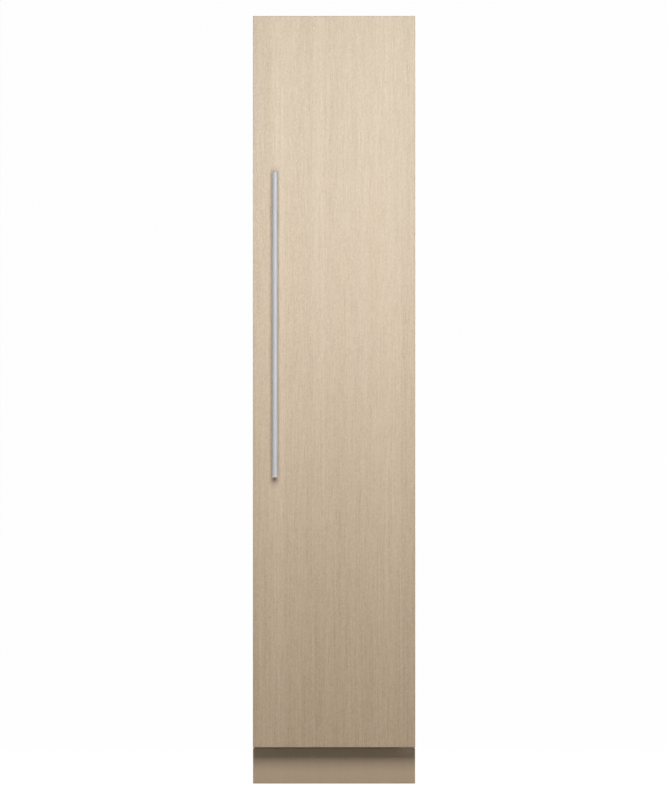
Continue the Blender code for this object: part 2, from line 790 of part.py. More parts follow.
def add_door_shell(door):
    skin_front = PANEL_THICK + FIT
    inner = DOOR_HALF - SKIN_THICK
    outline = [
        (-DOOR_HALF, skin_front),
        (DOOR_HALF, skin_front),
        (DOOR_HALF, DOOR_BODY_BACK),
        (inner, DOOR_BODY_BACK),
        (inner, skin_front + SKIN_THICK),
        (-inner, skin_front + SKIN_THICK),
        (-inner, DOOR_BODY_BACK),
        (-DOOR_HALF, DOOR_BODY_BACK),
    ]
    add_part("door_skin", plate("XY", [outline], (DOOR_LOW_Z, DOOR_HIGH_Z)), "grey_paint", door)
    core = rectangle((-DOOR_CORE_HALF, DOOR_CORE_HALF), (DOOR_CORE_FRONT, DOOR_BODY_BACK))
    bore = circle((PIVOT_X, PIVOT_DEPTH), PIN_RADIUS + PIN_CLEARANCE)
    cap_spans = {
        "door_cap_bottom": (DOOR_LOW_Z, DOOR_LOW_Z + CAP_HEIGHT),
        "door_cap_top": (DOOR_HIGH_Z - CAP_HEIGHT, DOOR_HIGH_Z),
    }
    for name, span in cap_spans.items():
        add_part(name, plate("XY", [core, bore], span), "black_plastic", door)
    add_part(
        "door_insulation",
        box(
            (-DOOR_CORE_HALF, DOOR_CORE_HALF),
            (DOOR_CORE_FRONT, DOOR_BODY_BACK),
            (DOOR_LOW_Z + CAP_HEIGHT + FIT, DOOR_HIGH_Z - CAP_HEIGHT - FIT),
        ),
        "foam",
        door,
    )


def lug_box(side, bin_z):
    """A lug on the door liner under one ear of a bin."""
    near = BIN_HALF + LUG_GAP
    far = (RIM_INNER_HALF + RIM_OUTER_HALF) / 2
    x = (near, far) if side > 0 else (-far, -near)
    top = bin_z + EAR_LOW - FIT
    back = LINER_FACE + LUG_DEPTH
    return box(x, (LINER_FACE - DOOR_LINER_THICK / 2, back), (top - LUG_HEIGHT, top))


def add_door_liner(door):
    liner = add_part(
        "door_liner",
        box(
            (-DOOR_CORE_HALF, DOOR_CORE_HALF),
            (DOOR_BODY_BACK + FIT, LINER_FACE),
            (DOOR_LOW_Z, DOOR_HIGH_Z),
        ),
        "white_plastic",
        door,
    )
    low = CAVITY_FLOOR_Z + RIM_CLEARANCE
    high = CAVITY_TOP_Z - RIM_CLEARANCE
    outer = rectangle((-RIM_OUTER_HALF, RIM_OUTER_HALF), (low, high))
    inner = rectangle((-RIM_INNER_HALF, RIM_INNER_HALF), (low + RIM_WALL, high - RIM_WALL))
    join(liner, plate("XZ", [outer, inner], (LINER_FACE - DOOR_LINER_THICK / 2, RIM_BACK)))
    for index in range(BIN_COUNT):
        for side in (-1, 1):
            join(liner, lug_box(side, level(BIN_FIRST_Z, BIN_PITCH, index)))
    low = CAVITY_FLOOR_Z - GASKET_OVERLAP_Z
    high = CAVITY_TOP_Z + GASKET_OVERLAP_Z
    inner_half = GASKET_OUTER_HALF - GASKET_WIDTH
    ring = rectangle((-GASKET_OUTER_HALF, GASKET_OUTER_HALF), (low, high))
    opening = rectangle((-inner_half, inner_half), (low + GASKET_WIDTH, high - GASKET_WIDTH))
    seal = plate("XZ", [ring, opening], (LINER_FACE + FIT, CASE_FRONT - FIT))
    add_part("door_gasket", seal, "rubber", door)


def add_door_bins(door):
    back = LINER_FACE + FIT
    for index in range(BIN_COUNT):
        z = level(BIN_FIRST_Z, BIN_PITCH, index)
        slide = carrier("door_bin_slide_%d" % (index + 1), 0, back + BIN_DEPTH / 2, z, door)
        tray = add_part(
            "door_bin_%d" % (index + 1),
            open_box(
                (-BIN_HALF, BIN_HALF),
                (back, back + BIN_DEPTH),
                (z, z + BIN_HEIGHT),
                "top",
                BIN_EDGE_ROUND,
            ),
            "clear_plastic",
            slide,
        )
        wall(tray, BIN_WALL)
        for side in (-1, 1):
            near = BIN_HALF - BIN_WALL / 2
            far = BIN_HALF + EAR_REACH
            x = (near, far) if side > 0 else (-far, -near)
            depth = (back + EAR_START, back + EAR_START + EAR_DEPTH)
            join(tray, box(x, depth, (z + EAR_LOW, z + EAR_LOW + EAR_HEIGHT)))


def bracket_outline():
    """The arm of a hinge bracket from above: an eye round the pin and a shoulder at the cabinet."""
    back = CASE_FRONT - FIT
    left = PIVOT_X - ARM_LEFT_REACH
    right = PIVOT_X + ARM_RIGHT_REACH
    end_angle = 2 * math.pi + math.acos(ARM_RIGHT_REACH / EYE_RADIUS)
    eye = arc((PIVOT_X, PIVOT_DEPTH), EYE_RADIUS, math.pi, end_angle, SMALL_SIDES)
    return eye + [(right, back), (left, back), (left, PIVOT_DEPTH + ARM_SHOULDER)]


def add_hinge_bracket(name, arm_z, flange_z, pin_z):
    bracket = add_part(name, plate("XY", [bracket_outline()], (arm_z, arm_z + ARM_THICK)), "galvanised")
    back = CASE_FRONT - FIT
    right = PIVOT_X + ARM_RIGHT_REACH
    join(bracket, box((right - FLANGE_WIDTH, right), (back - FLANGE_THICK, back), flange_z))
    join(bracket, rod("Z", (PIVOT_X, PIVOT_DEPTH), pin_z, PIN_RADIUS))
    return bracket


def add_hinges():
    arm_z = DOOR_HIGH_Z + TOP_ARM_GAP
    top = CASE_TOP_Z - SHEET_THICK
    add_hinge_bracket(
        "hinge_bracket_top",
        arm_z,
        (top - FLANGE_HEIGHT, top),
        (DOOR_HIGH_Z - PIN_REACH, arm_z + ARM_THICK / 2),
    )
    arm_top = BOTTOM_ARM_Z + ARM_THICK
    bottom = add_hinge_bracket(
        "hinge_bracket_bottom",
        BOTTOM_ARM_Z,
        (BOTTOM_FLANGE_Z, BOTTOM_FLANGE_Z + FLANGE_HEIGHT),
        (BOTTOM_ARM_Z + ARM_THICK / 2, DOOR_LOW_Z + PIN_REACH),
    )
    collar = (arm_top - OVERRUN, DOOR_LOW_Z - FIT)
    join(bottom, rod("Z", (PIVOT_X, PIVOT_DEPTH), collar, COLLAR_RADIUS))


def add_cabinet_panels():
    front = CASE_FRONT + FRAME_THICK + FIT
    notch_back = TOE_BACK + FIT
    side_outline = [
        (front, CASE_TOP_Z),
        (front, TOE_HEIGHT),
        (notch_back, TOE_HEIGHT),
        (notch_back, SIDE_BOTTOM_Z),
        (CASE_DEPTH, SIDE_BOTTOM_Z),
        (CASE_DEPTH, CASE_TOP_Z),
    ]
    inner = CASE_HALF - SHEET_THICK
    add_part("side_panel_left", plate("YZ", [side_outline], (-CASE_HALF, -inner)), "grey_paint")
    add_part("side_panel_right", plate("YZ", [side_outline], (inner, CASE_HALF)), "grey_paint")
    half = (-INNER_HALF, INNER_HALF)
    roof = (CASE_TOP_Z - SHEET_THICK, CASE_TOP_Z)
    add_part("top_panel", box(half, (front, CASE_DEPTH), roof), "grey_paint")
    add_part(
        "back_panel",
        box(half, (CASE_DEPTH - SHEET_THICK, CASE_DEPTH), (DECK_Z, CASE_TOP_Z - SHEET_THICK - FIT)),
        "galvanised",
    )
    add_part("bottom_deck", box(half, (front, BACK_FACE), (DECK_Z, DECK_Z + SHEET_THICK)), "galvanised")
    ring = rectangle((-CASE_HALF, CASE_HALF), (TOE_HEIGHT, CASE_TOP_Z))
    opening = rectangle((-CAVITY_HALF, CAVITY_HALF), (CAVITY_FLOOR_Z, CAVITY_TOP_Z))
    face = plate("XZ", [ring, opening], (CASE_FRONT, CASE_FRONT + FRAME_THICK))
    add_part("front_frame", face, "grey_paint")


def add_liner_and_foam():
    outer_half = CAVITY_HALF + LINER_WALL
    floor = CAVITY_FLOOR_Z - LINER_WALL
    ceiling = CAVITY_TOP_Z + LINER_WALL
    back = CAVITY_BACK + LINER_WALL
    liner = add_part(
        "inner_liner",
        open_box((-outer_half, outer_half), (INNER_FRONT, back), (floor, ceiling), "front"),
        "white_plastic",
    )
    wall(liner, LINER_WALL)
    foam = add_part(
        "insulation",
        box(
            (-INNER_HALF, INNER_HALF),
            (INNER_FRONT, BACK_FACE),
            (DECK_Z + SHEET_THICK + FIT, CASE_TOP_Z - SHEET_THICK - FIT),
        ),
        "foam",
    )
    hollow = outer_half + FIT
    cut(
        foam,
        box((-hollow, hollow), (INNER_FRONT - OVERRUN, back + FIT), (floor - FIT, ceiling + FIT)),
    )


def ledge_levels():
    """The top of every ledge, from the lowest drawer to the ice bin."""
    drawers = [level(DRAWER_FIRST_Z, DRAWER_PITCH, index) for index in range(DRAWER_COUNT)]
    shelves = [level(SHELF_FIRST_Z, SHELF_PITCH, index) for index in range(SHELF_COUNT)]
    return drawers + shelves + [ICE_BIN_Z]


def add_ladders():
    outer = CAVITY_HALF - FIT
    inner = outer - LADDER_THICK
    for name, side in (("shelf_ladder_left", -1), ("shelf_ladder_right", 1)):
        top = CAVITY_TOP_Z - LADDER_TOP_GAP
        bottom = CAVITY_FLOOR_Z + LADDER_BOTTOM_GAP
        outline = [(side * outer, top), (side * outer, bottom), (side * inner, bottom)]
        for ledge_top in ledge_levels():
            outline.append((side * inner, ledge_top - LEDGE_THICK))
            outline.append((side * LEDGE_HALF, ledge_top - LEDGE_THICK))
            outline.append((side * LEDGE_HALF, ledge_top))
            outline.append((side * inner, ledge_top))
        outline.append((side * inner, top))
        add_part(name, plate("XZ", [outline], (LADDER_FRONT, LADDER_BACK)), "white_plastic")


def drawer_front_outline(z):
    """A drawer front from the side: an upright plate with a finger lip along its top."""
    back = FRONT_PLATE_BACK
    front = back - FRONT_PLATE_THICK
    low = z - FRONT_PLATE_DROP
    high = z + DRAWER_HEIGHT + FRONT_PLATE_RISE
    return [
        (back, low),
        (back, high),
        (front - LIP_REACH, high),
        (front - LIP_REACH, high - 2 * LIP_THICK),
        (front - LIP_REACH + LIP_THICK / 2, high - 2 * LIP_THICK),
        (front - LIP_REACH + LIP_THICK / 2, high - LIP_THICK),
        (front, high - LIP_THICK),
        (front, low),
    ]


def add_drawers():
    basket_front = FRONT_PLATE_BACK + FIT
    for index in range(DRAWER_COUNT):
        z = level(DRAWER_FIRST_Z, DRAWER_PITCH, index)
        slide = carrier("drawer_slide_%d" % (index + 1), 0, basket_front, z)
        add_part(
            "drawer_front_%d" % (index + 1),
            plate("YZ", [drawer_front_outline(z)], (-FRONT_PLATE_HALF, FRONT_PLATE_HALF)),
            "clear_plastic",
            slide,
        )
        basket = add_part(
            "drawer_basket_%d" % (index + 1),
            open_box(
                (-DRAWER_HALF, DRAWER_HALF),
                (basket_front, LADDER_BACK),
                (z + FIT, z + DRAWER_HEIGHT),
                "top",
                DRAWER_EDGE_ROUND,
            ),
            "clear_plastic",
            slide,
        )
        wall(basket, DRAWER_WALL)


def add_shelves():
    for index in range(SHELF_COUNT):
        z = level(SHELF_FIRST_Z, SHELF_PITCH, index) + FIT
        pane = add_part(
            "glass_shelf_%d" % (index + 1),
            box((-SHELF_HALF, SHELF_HALF), (SHELF_FRONT, LADDER_BACK), (z, z + SHELF_THICK)),
            "glass",
        )
        bevel(pane, SHELF_ARRIS)


def add_ice_bin():
    slide = carrier("ice_bin_slide", 0, SHELF_FRONT, ICE_BIN_Z)
    top = ICE_BIN_Z + ICE_BIN_HEIGHT
    ice_bin = add_part(
        "ice_bin",
        open_box(
            (-DRAWER_HALF, DRAWER_HALF),
            (SHELF_FRONT, LADDER_BACK),
            (ICE_BIN_Z + FIT, top),
            "top",
            ICE_BIN_EDGE_ROUND,
        ),
        "white_plastic",
        slide,
    )
    wall(ice_bin, ICE_BIN_WALL)
    join(
        ice_bin,
        box(
            (-ICE_LIP_HALF, ICE_LIP_HALF),
            (SHELF_FRONT - ICE_LIP_REACH, SHELF_FRONT + ICE_BIN_WALL / 2),
            (top - ICE_LIP_HEIGHT, top - ICE_BIN_WALL),
        ),
    )


def add_ice_maker():
    head_back = MAKER_FRONT + MAKER_HEAD_DEPTH
    foot_front = MAKER_BACK - MAKER_FOOT_DEPTH
    roof = MAKER_HIGH_Z - MAKER_ROOF_THICK
    outline = [
        (MAKER_FRONT, MAKER_LOW_Z),
        (head_back, MAKER_LOW_Z),
        (head_back, roof),
        (foot_front, roof),
        (foot_front, MAKER_LOW_Z),
        (MAKER_BACK, MAKER_LOW_Z),
        (MAKER_BACK, MAKER_HIGH_Z),
        (MAKER_FRONT, MAKER_HIGH_Z),
    ]
    span = (MAKER_CENTRE_X - MAKER_HALF, MAKER_CENTRE_X + MAKER_HALF)
    add_part("ice_maker_housing", plate("YZ", [outline], span), "white_plastic")
    pivot = carrier("ice_tray_pivot", MAKER_CENTRE_X, TRAY_FRONT, TRAY_PIVOT_Z)
    x = (MAKER_CENTRE_X - TRAY_HALF, MAKER_CENTRE_X + TRAY_HALF)
    z = (TRAY_PIVOT_Z - TRAY_DROP, TRAY_PIVOT_Z + TRAY_RISE)
    tray = add_part("ice_tray", box(x, (TRAY_FRONT, TRAY_BACK), z), "nylon", pivot)
    cell_x = (2 * TRAY_HALF - TRAY_WALL * (TRAY_COLUMNS + 1)) / TRAY_COLUMNS
    cell_y = (TRAY_BACK - TRAY_FRONT - TRAY_WALL * (TRAY_ROWS + 1)) / TRAY_ROWS
    for column in range(TRAY_COLUMNS):
        left = x[0] + TRAY_WALL + column * (cell_x + TRAY_WALL)
        for row in range(TRAY_ROWS):
            front = TRAY_FRONT + TRAY_WALL + row * (cell_y + TRAY_WALL)
            cell_z = (z[0] + TRAY_WALL, z[1] + OVERRUN)
            cut(tray, box((left, left + cell_x), (front, front + cell_y), cell_z))
    across = (MAKER_CENTRE_X, TRAY_PIVOT_Z)
    join(tray, rod("Y", across, (head_back + FIT, TRAY_FRONT + TRAY_PIN_OVERLAP), TRAY_PIN_RADIUS))
    join(tray, rod("Y", across, (TRAY_BACK - TRAY_PIN_OVERLAP, foot_front - FIT), TRAY_PIN_RADIUS))


def add_level_arm():
    """The wire that feels how full the ice bin is."""
    front = MAKER_FRONT + MAKER_HEAD_DEPTH + FIT
    back = MAKER_BACK - MAKER_FOOT_DEPTH - FIT
    pivot = carrier("ice_arm_pivot", ARM_PIVOT_X, front, ARM_PIVOT_Z)
    out_x = ARM_PIVOT_X + ARM_WIRE_REACH * math.cos(ARM_REST_ANGLE)
    out_z = ARM_PIVOT_Z + ARM_WIRE_REACH * math.sin(ARM_REST_ANGLE)
    corners = [
        (ARM_PIVOT_X, front, ARM_PIVOT_Z),
        (ARM_PIVOT_X, front + ARM_WIRE_INSET, ARM_PIVOT_Z),
        (out_x, front + ARM_WIRE_INSET, out_z),
        (out_x, back - ARM_WIRE_INSET, out_z),
        (ARM_PIVOT_X, back - ARM_WIRE_INSET, ARM_PIVOT_Z),
        (ARM_PIVOT_X, back, ARM_PIVOT_Z),
    ]
    add_tube("ice_level_arm", corners, ARM_WIRE_RADIUS, ARM_WIRE_BEND, "stainless", pivot)


def slot_rows(first_z, pitch, count, height, spans):
    """Rectangular slots in rows, one for each span in each row."""
    loops = []
    for row in range(count):
        z = level(first_z, pitch, row)
        for span in spans:
            loops.append(rectangle(span, (z, z + height)))
    return loops


def add_air_circuit():
    half = CAVITY_HALF - FIT
    sheet = rectangle((-half, half), (CAVITY_FLOOR_Z + FIT, CAVITY_TOP_Z - FIT))
    span = [(-COVER_SLOT_HALF, COVER_SLOT_HALF)]
    returns = slot_rows(RETURN_SLOT_Z, COVER_SLOT_PITCH, RETURN_SLOT_COUNT, COVER_SLOT_HEIGHT, span)
    supplies = slot_rows(SUPPLY_SLOT_Z, COVER_SLOT_PITCH, SUPPLY_SLOT_COUNT, COVER_SLOT_HEIGHT, span)
    back = COVER_DEPTH + COVER_THICK
    cover = add_part(
        "evaporator_cover",
        plate("XZ", [sheet] + returns + supplies, (COVER_DEPTH, back)),
        "white_plastic",
    )
    motor_back = back + COLD_MOTOR_LENGTH
    motor = (back - COVER_THICK / 2, motor_back)
    join(cover, rod("Y", (0, COLD_FAN_Z), motor, COLD_MOTOR_RADIUS))
    spine_front = CAVITY_BACK - FIT - EVAPORATOR_SPINE
    add_part(
        "evaporator",
        plate(
            "XY",
            [fin_comb(-EVAPORATOR_HALF, EVAPORATOR_HALF, EVAPORATOR_FRONT, spine_front,
                      CAVITY_BACK - FIT, EVAPORATOR_FINS, EVAPORATOR_FIN_THICK)],
            (EVAPORATOR_LOW_Z, EVAPORATOR_HIGH_Z),
        ),
        "aluminium",
    )
    front = motor_back + FIT
    add_fan("evaporator_fan", 0, front, COLD_FAN_Z, COLD_FAN_RADIUS, COLD_FAN_HUB, COLD_FAN_THICK)


def fin_comb(left, right, front, spine_front, back, count, thickness):
    """A finned block from above: thin fins that stand forward from a spine."""
    outline = [(left, back), (left, front)]
    pitch = (right - left - thickness) / (count - 1)
    for fin in range(count):
        start = left + pitch * fin
        if fin:
            outline.append((start, spine_front))
            outline.append((start, front))
        outline.append((start + thickness, front))
        if fin < count - 1:
            outline.append((start + thickness, spine_front))
    outline.append((right, back))
    return outline


def blade(x, depth, z, radius, hub, thick, angle):
    """One pitched fan blade, sunk into the hub, at an angle round the shaft."""
    inner = hub / 2
    length = radius * math.cos(BLADE_PITCH / 2) - inner
    chord = radius * BLADE_CHORD_SHARE
    width = min(chord, (thick - BLADE_THICK) / math.sin(BLADE_PITCH))
    form = bmesh.new()
    bmesh.ops.create_cube(form, size=1)
    bmesh.ops.scale(form, vec=(length, BLADE_THICK, width), verts=form.verts)
    pitched = Matrix.Rotation(BLADE_PITCH, 4, "X")
    outwards = Matrix.Translation((inner + length / 2, 0, 0))
    turned = Matrix.Rotation(angle, 4, "Y")
    place = Matrix.Translation((x, depth, z))
    bmesh.ops.transform(form, matrix=place @ turned @ outwards @ pitched, verts=form.verts)
    return mesh_from(form)


def add_fan(name, x, front, z, radius, hub, thick):
    """A fan rotor whose hub faces its motor."""
    pivot = carrier(name + "_shaft", x, front, z)
    rotor = add_part(name, rod("Y", (x, z), (front, front + thick), hub), "black_plastic", pivot)
    for index in range(BLADE_COUNT):
        angle = 2 * math.pi * index / BLADE_COUNT
        join(rotor, blade(x, front + thick / 2, z, radius, hub, thick, angle))


def add_ceiling_fittings():
    top = CAVITY_TOP_Z - FIT
    low = CAVITY_TOP_Z - PANEL_DROP
    outline = [
        (PANEL_FRONT, top),
        (PANEL_FRONT, top - PANEL_LIP),
        (PANEL_FRONT + PANEL_SLOPE, low),
        (PANEL_BACK, low),
        (PANEL_BACK, top),
    ]
    add_part("control_panel", plate("YZ", [outline], (-PANEL_HALF, PANEL_HALF)), "black_plastic")
    light_back = LADDER_FRONT + LIGHT_LENGTH
    lamp = add_part(
        "light_bar",
        box((-LIGHT_HALF, LIGHT_HALF), (LADDER_FRONT, light_back), (top - LIGHT_DROP, top)),
        "clear_plastic",
    )
    bevel(lamp, LIGHT_ROUND)


def add_base_frame():
    half = INNER_HALF
    pan = add_part(
        "base_frame",
        open_box((-half, half), (TOE_BACK + FIT, PAN_BACK), (PAN_LOW_Z, PAN_TOP_Z), "top"),
        "galvanised",
    )
    wall(pan, PAN_THICK)
    stem_hole = FOOT_STEM_RADIUS + STEM_CLEARANCE
    axle_hole = AXLE_RADIUS + AXLE_CLEARANCE
    for side in (-1, 1):
        boss_z = (FOOT_NECK_TOP + FIT, BOSS_TOP_Z)
        join(pan, rod("Z", (side * FOOT_X, FOOT_DEPTH), boss_z, BOSS_RADIUS))
        bore_z = (boss_z[0] - OVERRUN, boss_z[1] + OVERRUN)
        cut(pan, rod("Z", (side * FOOT_X, FOOT_DEPTH), bore_z, stem_hole))
        for face in (-1, 1):
            near = ROLLER_WIDTH / 2 + FORK_SIDE_GAP
            edges = sorted((side * FOOT_X + face * near, side * FOOT_X + face * (near + FORK_THICK)))
            depth = (ROLLER_DEPTH - FORK_HALF, ROLLER_DEPTH + FORK_HALF)
            join(pan, box(edges, depth, (FORK_LOW_Z, PAN_LOW_Z + PAN_THICK / 2)))
            run = (edges[0] - OVERRUN, edges[1] + OVERRUN)
            cut(pan, rod("X", (ROLLER_DEPTH, ROLLER_RADIUS), run, axle_hole))


def add_feet_and_rollers():
    for name, side in (("left", -1), ("right", 1)):
        x = side * FOOT_X
        slide = carrier("foot_slide_" + name, x, FOOT_DEPTH, 0)
        profile = [
            (0, FOOT_STEM_TOP),
            (FOOT_STEM_RADIUS, FOOT_STEM_TOP),
            (FOOT_STEM_RADIUS, FOOT_NECK_TOP),
            (FOOT_NECK_RADIUS, FOOT_NECK_TOP),
            (FOOT_NECK_RADIUS, FOOT_PAD_THICK),
            (FOOT_PAD_RADIUS - FOOT_EDGE, FOOT_PAD_THICK),
            (FOOT_PAD_RADIUS, FOOT_PAD_THICK - FOOT_EDGE),
            (FOOT_PAD_RADIUS, 0),
            (0, 0),
        ]
        add_turned("foot_" + name, profile, (x, FOOT_DEPTH, 0), "galvanised", slide, sides=SMALL_SIDES)
        axle = carrier("roller_axle_" + name, x, ROLLER_DEPTH, ROLLER_RADIUS)
        half = ROLLER_WIDTH / 2
        end = half + FORK_SIDE_GAP + FORK_THICK
        profile = [
            (0, end),
            (AXLE_RADIUS, end),
            (AXLE_RADIUS, half),
            (ROLLER_RADIUS - ROLLER_EDGE, half),
            (ROLLER_RADIUS, half - ROLLER_EDGE),
            (ROLLER_RADIUS, ROLLER_EDGE - half),
            (ROLLER_RADIUS - ROLLER_EDGE, -half),
            (AXLE_RADIUS, -half),
            (AXLE_RADIUS, -end),
            (0, -end),
        ]
        place = (x, ROLLER_DEPTH, ROLLER_RADIUS)
        add_turned("roller_" + name, profile, place, "nylon", axle, (0, math.pi / 2, 0))


def add_compressor():
    floor = MACHINE_FLOOR_Z
    weld_high = COMPRESSOR_WELD_RISE + COMPRESSOR_WELD_HEIGHT
    weld_radius = COMPRESSOR_RADIUS + COMPRESSOR_WELD_REACH
    profile = [(0, COMPRESSOR_HEIGHT)]
    crown = COMPRESSOR_HEIGHT - weld_high
    for radius, rise in arc((0, 0), 1, math.radians(75), math.radians(15), 4):
        profile.append((COMPRESSOR_RADIUS * radius, weld_high + crown * rise))
    profile += [
        (COMPRESSOR_RADIUS, weld_high),
        (weld_radius, weld_high),
        (weld_radius, COMPRESSOR_WELD_RISE),
        (COMPRESSOR_RADIUS, COMPRESSOR_WELD_RISE),
        (COMPRESSOR_RADIUS, 2 * COMPRESSOR_LOW),
        (COMPRESSOR_RADIUS - COMPRESSOR_LOW, COMPRESSOR_LOW),
        (0, COMPRESSOR_LOW),
    ]
    shell = add_turned("compressor", profile, (COMPRESSOR_X, COMPRESSOR_DEPTH, floor), "black_paint")
    x = (COMPRESSOR_X - COMPRESSOR_PLATE_HALF_X, COMPRESSOR_X + COMPRESSOR_PLATE_HALF_X)
    depth = (COMPRESSOR_DEPTH - COMPRESSOR_PLATE_HALF_Y, COMPRESSOR_DEPTH + COMPRESSOR_PLATE_HALF_Y)
    plate_low = floor + COMPRESSOR_PLATE_LOW
    join(shell, box(x, depth, (plate_low, plate_low + COMPRESSOR_PLATE_THICK)))
    for corner_x in (x[0] + GROMMET_INSET, x[1] - GROMMET_INSET):
        for corner_depth in (depth[0] + GROMMET_INSET, depth[1] - GROMMET_INSET):
            height = (floor, floor + GROMMET_HEIGHT)
            join(shell, rod("Z", (corner_x, corner_depth), height, GROMMET_RADIUS))
    stub = (floor + weld_high, floor + STUB_TOP)
    join(shell, rod("Z", (COMPRESSOR_X - STUB_OFFSET, COMPRESSOR_DEPTH), stub, TUBE_RADIUS))


def add_condenser():
    floor = MACHINE_FLOOR_Z
    comb = fin_comb(
        CONDENSER_LEFT, CONDENSER_RIGHT, CONDENSER_FRONT, CONDENSER_BACK - CONDENSER_SPINE,
        CONDENSER_BACK, CONDENSER_FINS, CONDENSER_FIN_THICK,
    )
    add_part("condenser", plate("XY", [comb], (floor, floor + CONDENSER_HEIGHT)), "aluminium")
    stub_x = COMPRESSOR_X - STUB_OFFSET
    run_z = floor + CONDENSER_HEIGHT + TUBE_CLEARANCE_Z
    entry_x = CONDENSER_RIGHT - CONDENSER_SPINE
    entry_depth = CONDENSER_BACK - CONDENSER_SPINE / 2
    corners = [
        (stub_x, COMPRESSOR_DEPTH, floor + STUB_TOP + FIT),
        (stub_x, COMPRESSOR_DEPTH, run_z),
        (stub_x, entry_depth, run_z),
        (entry_x, entry_depth, run_z),
        (entry_x, entry_depth, floor + CONDENSER_HEIGHT + FIT),
    ]
    add_tube("refrigerant_tube", corners, TUBE_RADIUS, TUBE_BEND, "copper")


def add_condenser_fan():
    floor = MACHINE_FLOOR_Z
    centre = (FAN_X, FAN_Z)
    sheet = rectangle((CONDENSER_LEFT, CONDENSER_RIGHT), (floor, floor + SHROUD_HEIGHT - FIT))
    plate_back = SHROUD_FRONT + SHROUD_PLATE_THICK
    shroud = add_part(
        "condenser_shroud",
        plate("XZ", [sheet, circle(centre, SHROUD_HOLE)], (SHROUD_FRONT, plate_back)),
        "black_plastic",
    )
    ring = [circle(centre, SHROUD_HOLE + SHROUD_RING), circle(centre, SHROUD_HOLE + FIT)]
    join(shroud, plate("XZ", ring, (SHROUD_FRONT + SHROUD_PLATE_THICK / 2, SHROUD_RING_BACK)))
    join(shroud, rod("Y", centre, (MOTOR_FRONT, MOTOR_BACK), MOTOR_RADIUS))
    spider = (MOTOR_FRONT + FIT, MOTOR_FRONT + FIT + SPIDER_THICK)
    for index in range(SPIDER_ARMS):
        angle = math.pi / 2 + 2 * math.pi * index / SPIDER_ARMS
        start = Vector((math.cos(angle), math.sin(angle))) * MOTOR_RADIUS / 2
        end = Vector((math.cos(angle), math.sin(angle))) * (SHROUD_HOLE + SHROUD_RING / 2)
        side = Vector((-math.sin(angle), math.cos(angle))) * SPIDER_WIDTH / 2
        hub = Vector(centre)
        outline = [hub + start - side, hub + end - side, hub + end + side, hub + start + side]
        join(shroud, plate("XZ", [outline], spider))
    add_fan("condenser_fan", FAN_X, FAN_FRONT, FAN_Z, FAN_RADIUS, FAN_HUB, FAN_THICK)


def add_machine_boxes():
    floor = MACHINE_FLOOR_Z
    tray = add_part(
        "drain_pan",
        open_box(
            (BOX_LEFT, DRAIN_RIGHT),
            (DRAIN_FRONT, DRAIN_BACK),
            (floor, floor + DRAIN_HEIGHT),
            "top",
        ),
        "black_plastic",
    )
    wall(tray, DRAIN_WALL)
    case = add_part(
        "electronics_box",
        box((BOX_LEFT, BOX_RIGHT), (BOX_FRONT, BOX_BACK), (floor, floor + BOX_HEIGHT)),
        "grey_paint",
    )
    bevel(case, BOX_ROUND)


def add_rear_cover():
    sheet = rectangle((-INNER_HALF, INNER_HALF), (COVER_LOW_Z, DECK_Z - FIT))
    spans = [(-LOUVRE_OUTER_X, -LOUVRE_INNER_X), (LOUVRE_INNER_X, LOUVRE_OUTER_X)]
    slots = slot_rows(LOUVRE_LOW_Z, LOUVRE_PITCH, LOUVRE_COUNT, LOUVRE_HEIGHT, spans)
    reach_x = INLET_BODY_HALF_X + HOLE_CLEARANCE
    reach_z = INLET_BODY_HALF_Z + HOLE_CLEARANCE
    inlet_hole = rectangle((INLET_X - reach_x, INLET_X + reach_x), (INLET_Z - reach_z, INLET_Z + reach_z))
    valve_hole = circle((VALVE_X, VALVE_Z), VALVE_FITTING_RADIUS + HOLE_CLEARANCE)
    loops = [sheet, inlet_hole, valve_hole] + slots
    add_part("rear_cover", plate("XZ", loops, (REAR_COVER_FRONT, REAR_COVER_BACK)), "grey_paint")
    inlet = add_part(
        "power_inlet",
        box(
            (INLET_X - INLET_FLANGE_HALF_X, INLET_X + INLET_FLANGE_HALF_X),
            (REAR_COVER_BACK + FIT, CASE_DEPTH),
            (INLET_Z - INLET_FLANGE_HALF_Z, INLET_Z + INLET_FLANGE_HALF_Z),
        ),
        "black_plastic",
    )
    body_x = (INLET_X - INLET_BODY_HALF_X, INLET_X + INLET_BODY_HALF_X)
    body_z = (INLET_Z - INLET_BODY_HALF_Z, INLET_Z + INLET_BODY_HALF_Z)
    body_back = (REAR_COVER_BACK + FIT + CASE_DEPTH) / 2
    join(inlet, box(body_x, (body_back - INLET_BODY_LENGTH, body_back), body_z))
    socket_x = (INLET_X - INLET_SOCKET_HALF_X, INLET_X + INLET_SOCKET_HALF_X)
    socket_z = (INLET_Z - INLET_SOCKET_HALF_Z, INLET_Z + INLET_SOCKET_HALF_Z)
    cut(inlet, box(socket_x, (CASE_DEPTH - INLET_SOCKET_DEEP, CASE_DEPTH + OVERRUN), socket_z))
    valve = add_part(
        "water_valve",
        box(
            (VALVE_X - VALVE_HALF_X, VALVE_X + VALVE_HALF_X),
            (VALVE_FRONT, VALVE_BACK),
            (VALVE_Z - VALVE_HALF_Z, VALVE_Z + VALVE_HALF_Z),
        ),
        "white_plastic",
    )
    join(valve, rod("Y", (VALVE_X, VALVE_Z), (VALVE_FRONT + OVERRUN, CASE_DEPTH), VALVE_FITTING_RADIUS))
    coil_low = VALVE_Z + VALVE_HALF_Z - OVERRUN
    coil_depth = (VALVE_FRONT + VALVE_BACK) / 2
    coil = (coil_low, coil_low + VALVE_COIL_HEIGHT)
    join(valve, rod("Z", (VALVE_X, coil_depth), coil, VALVE_COIL_RADIUS))


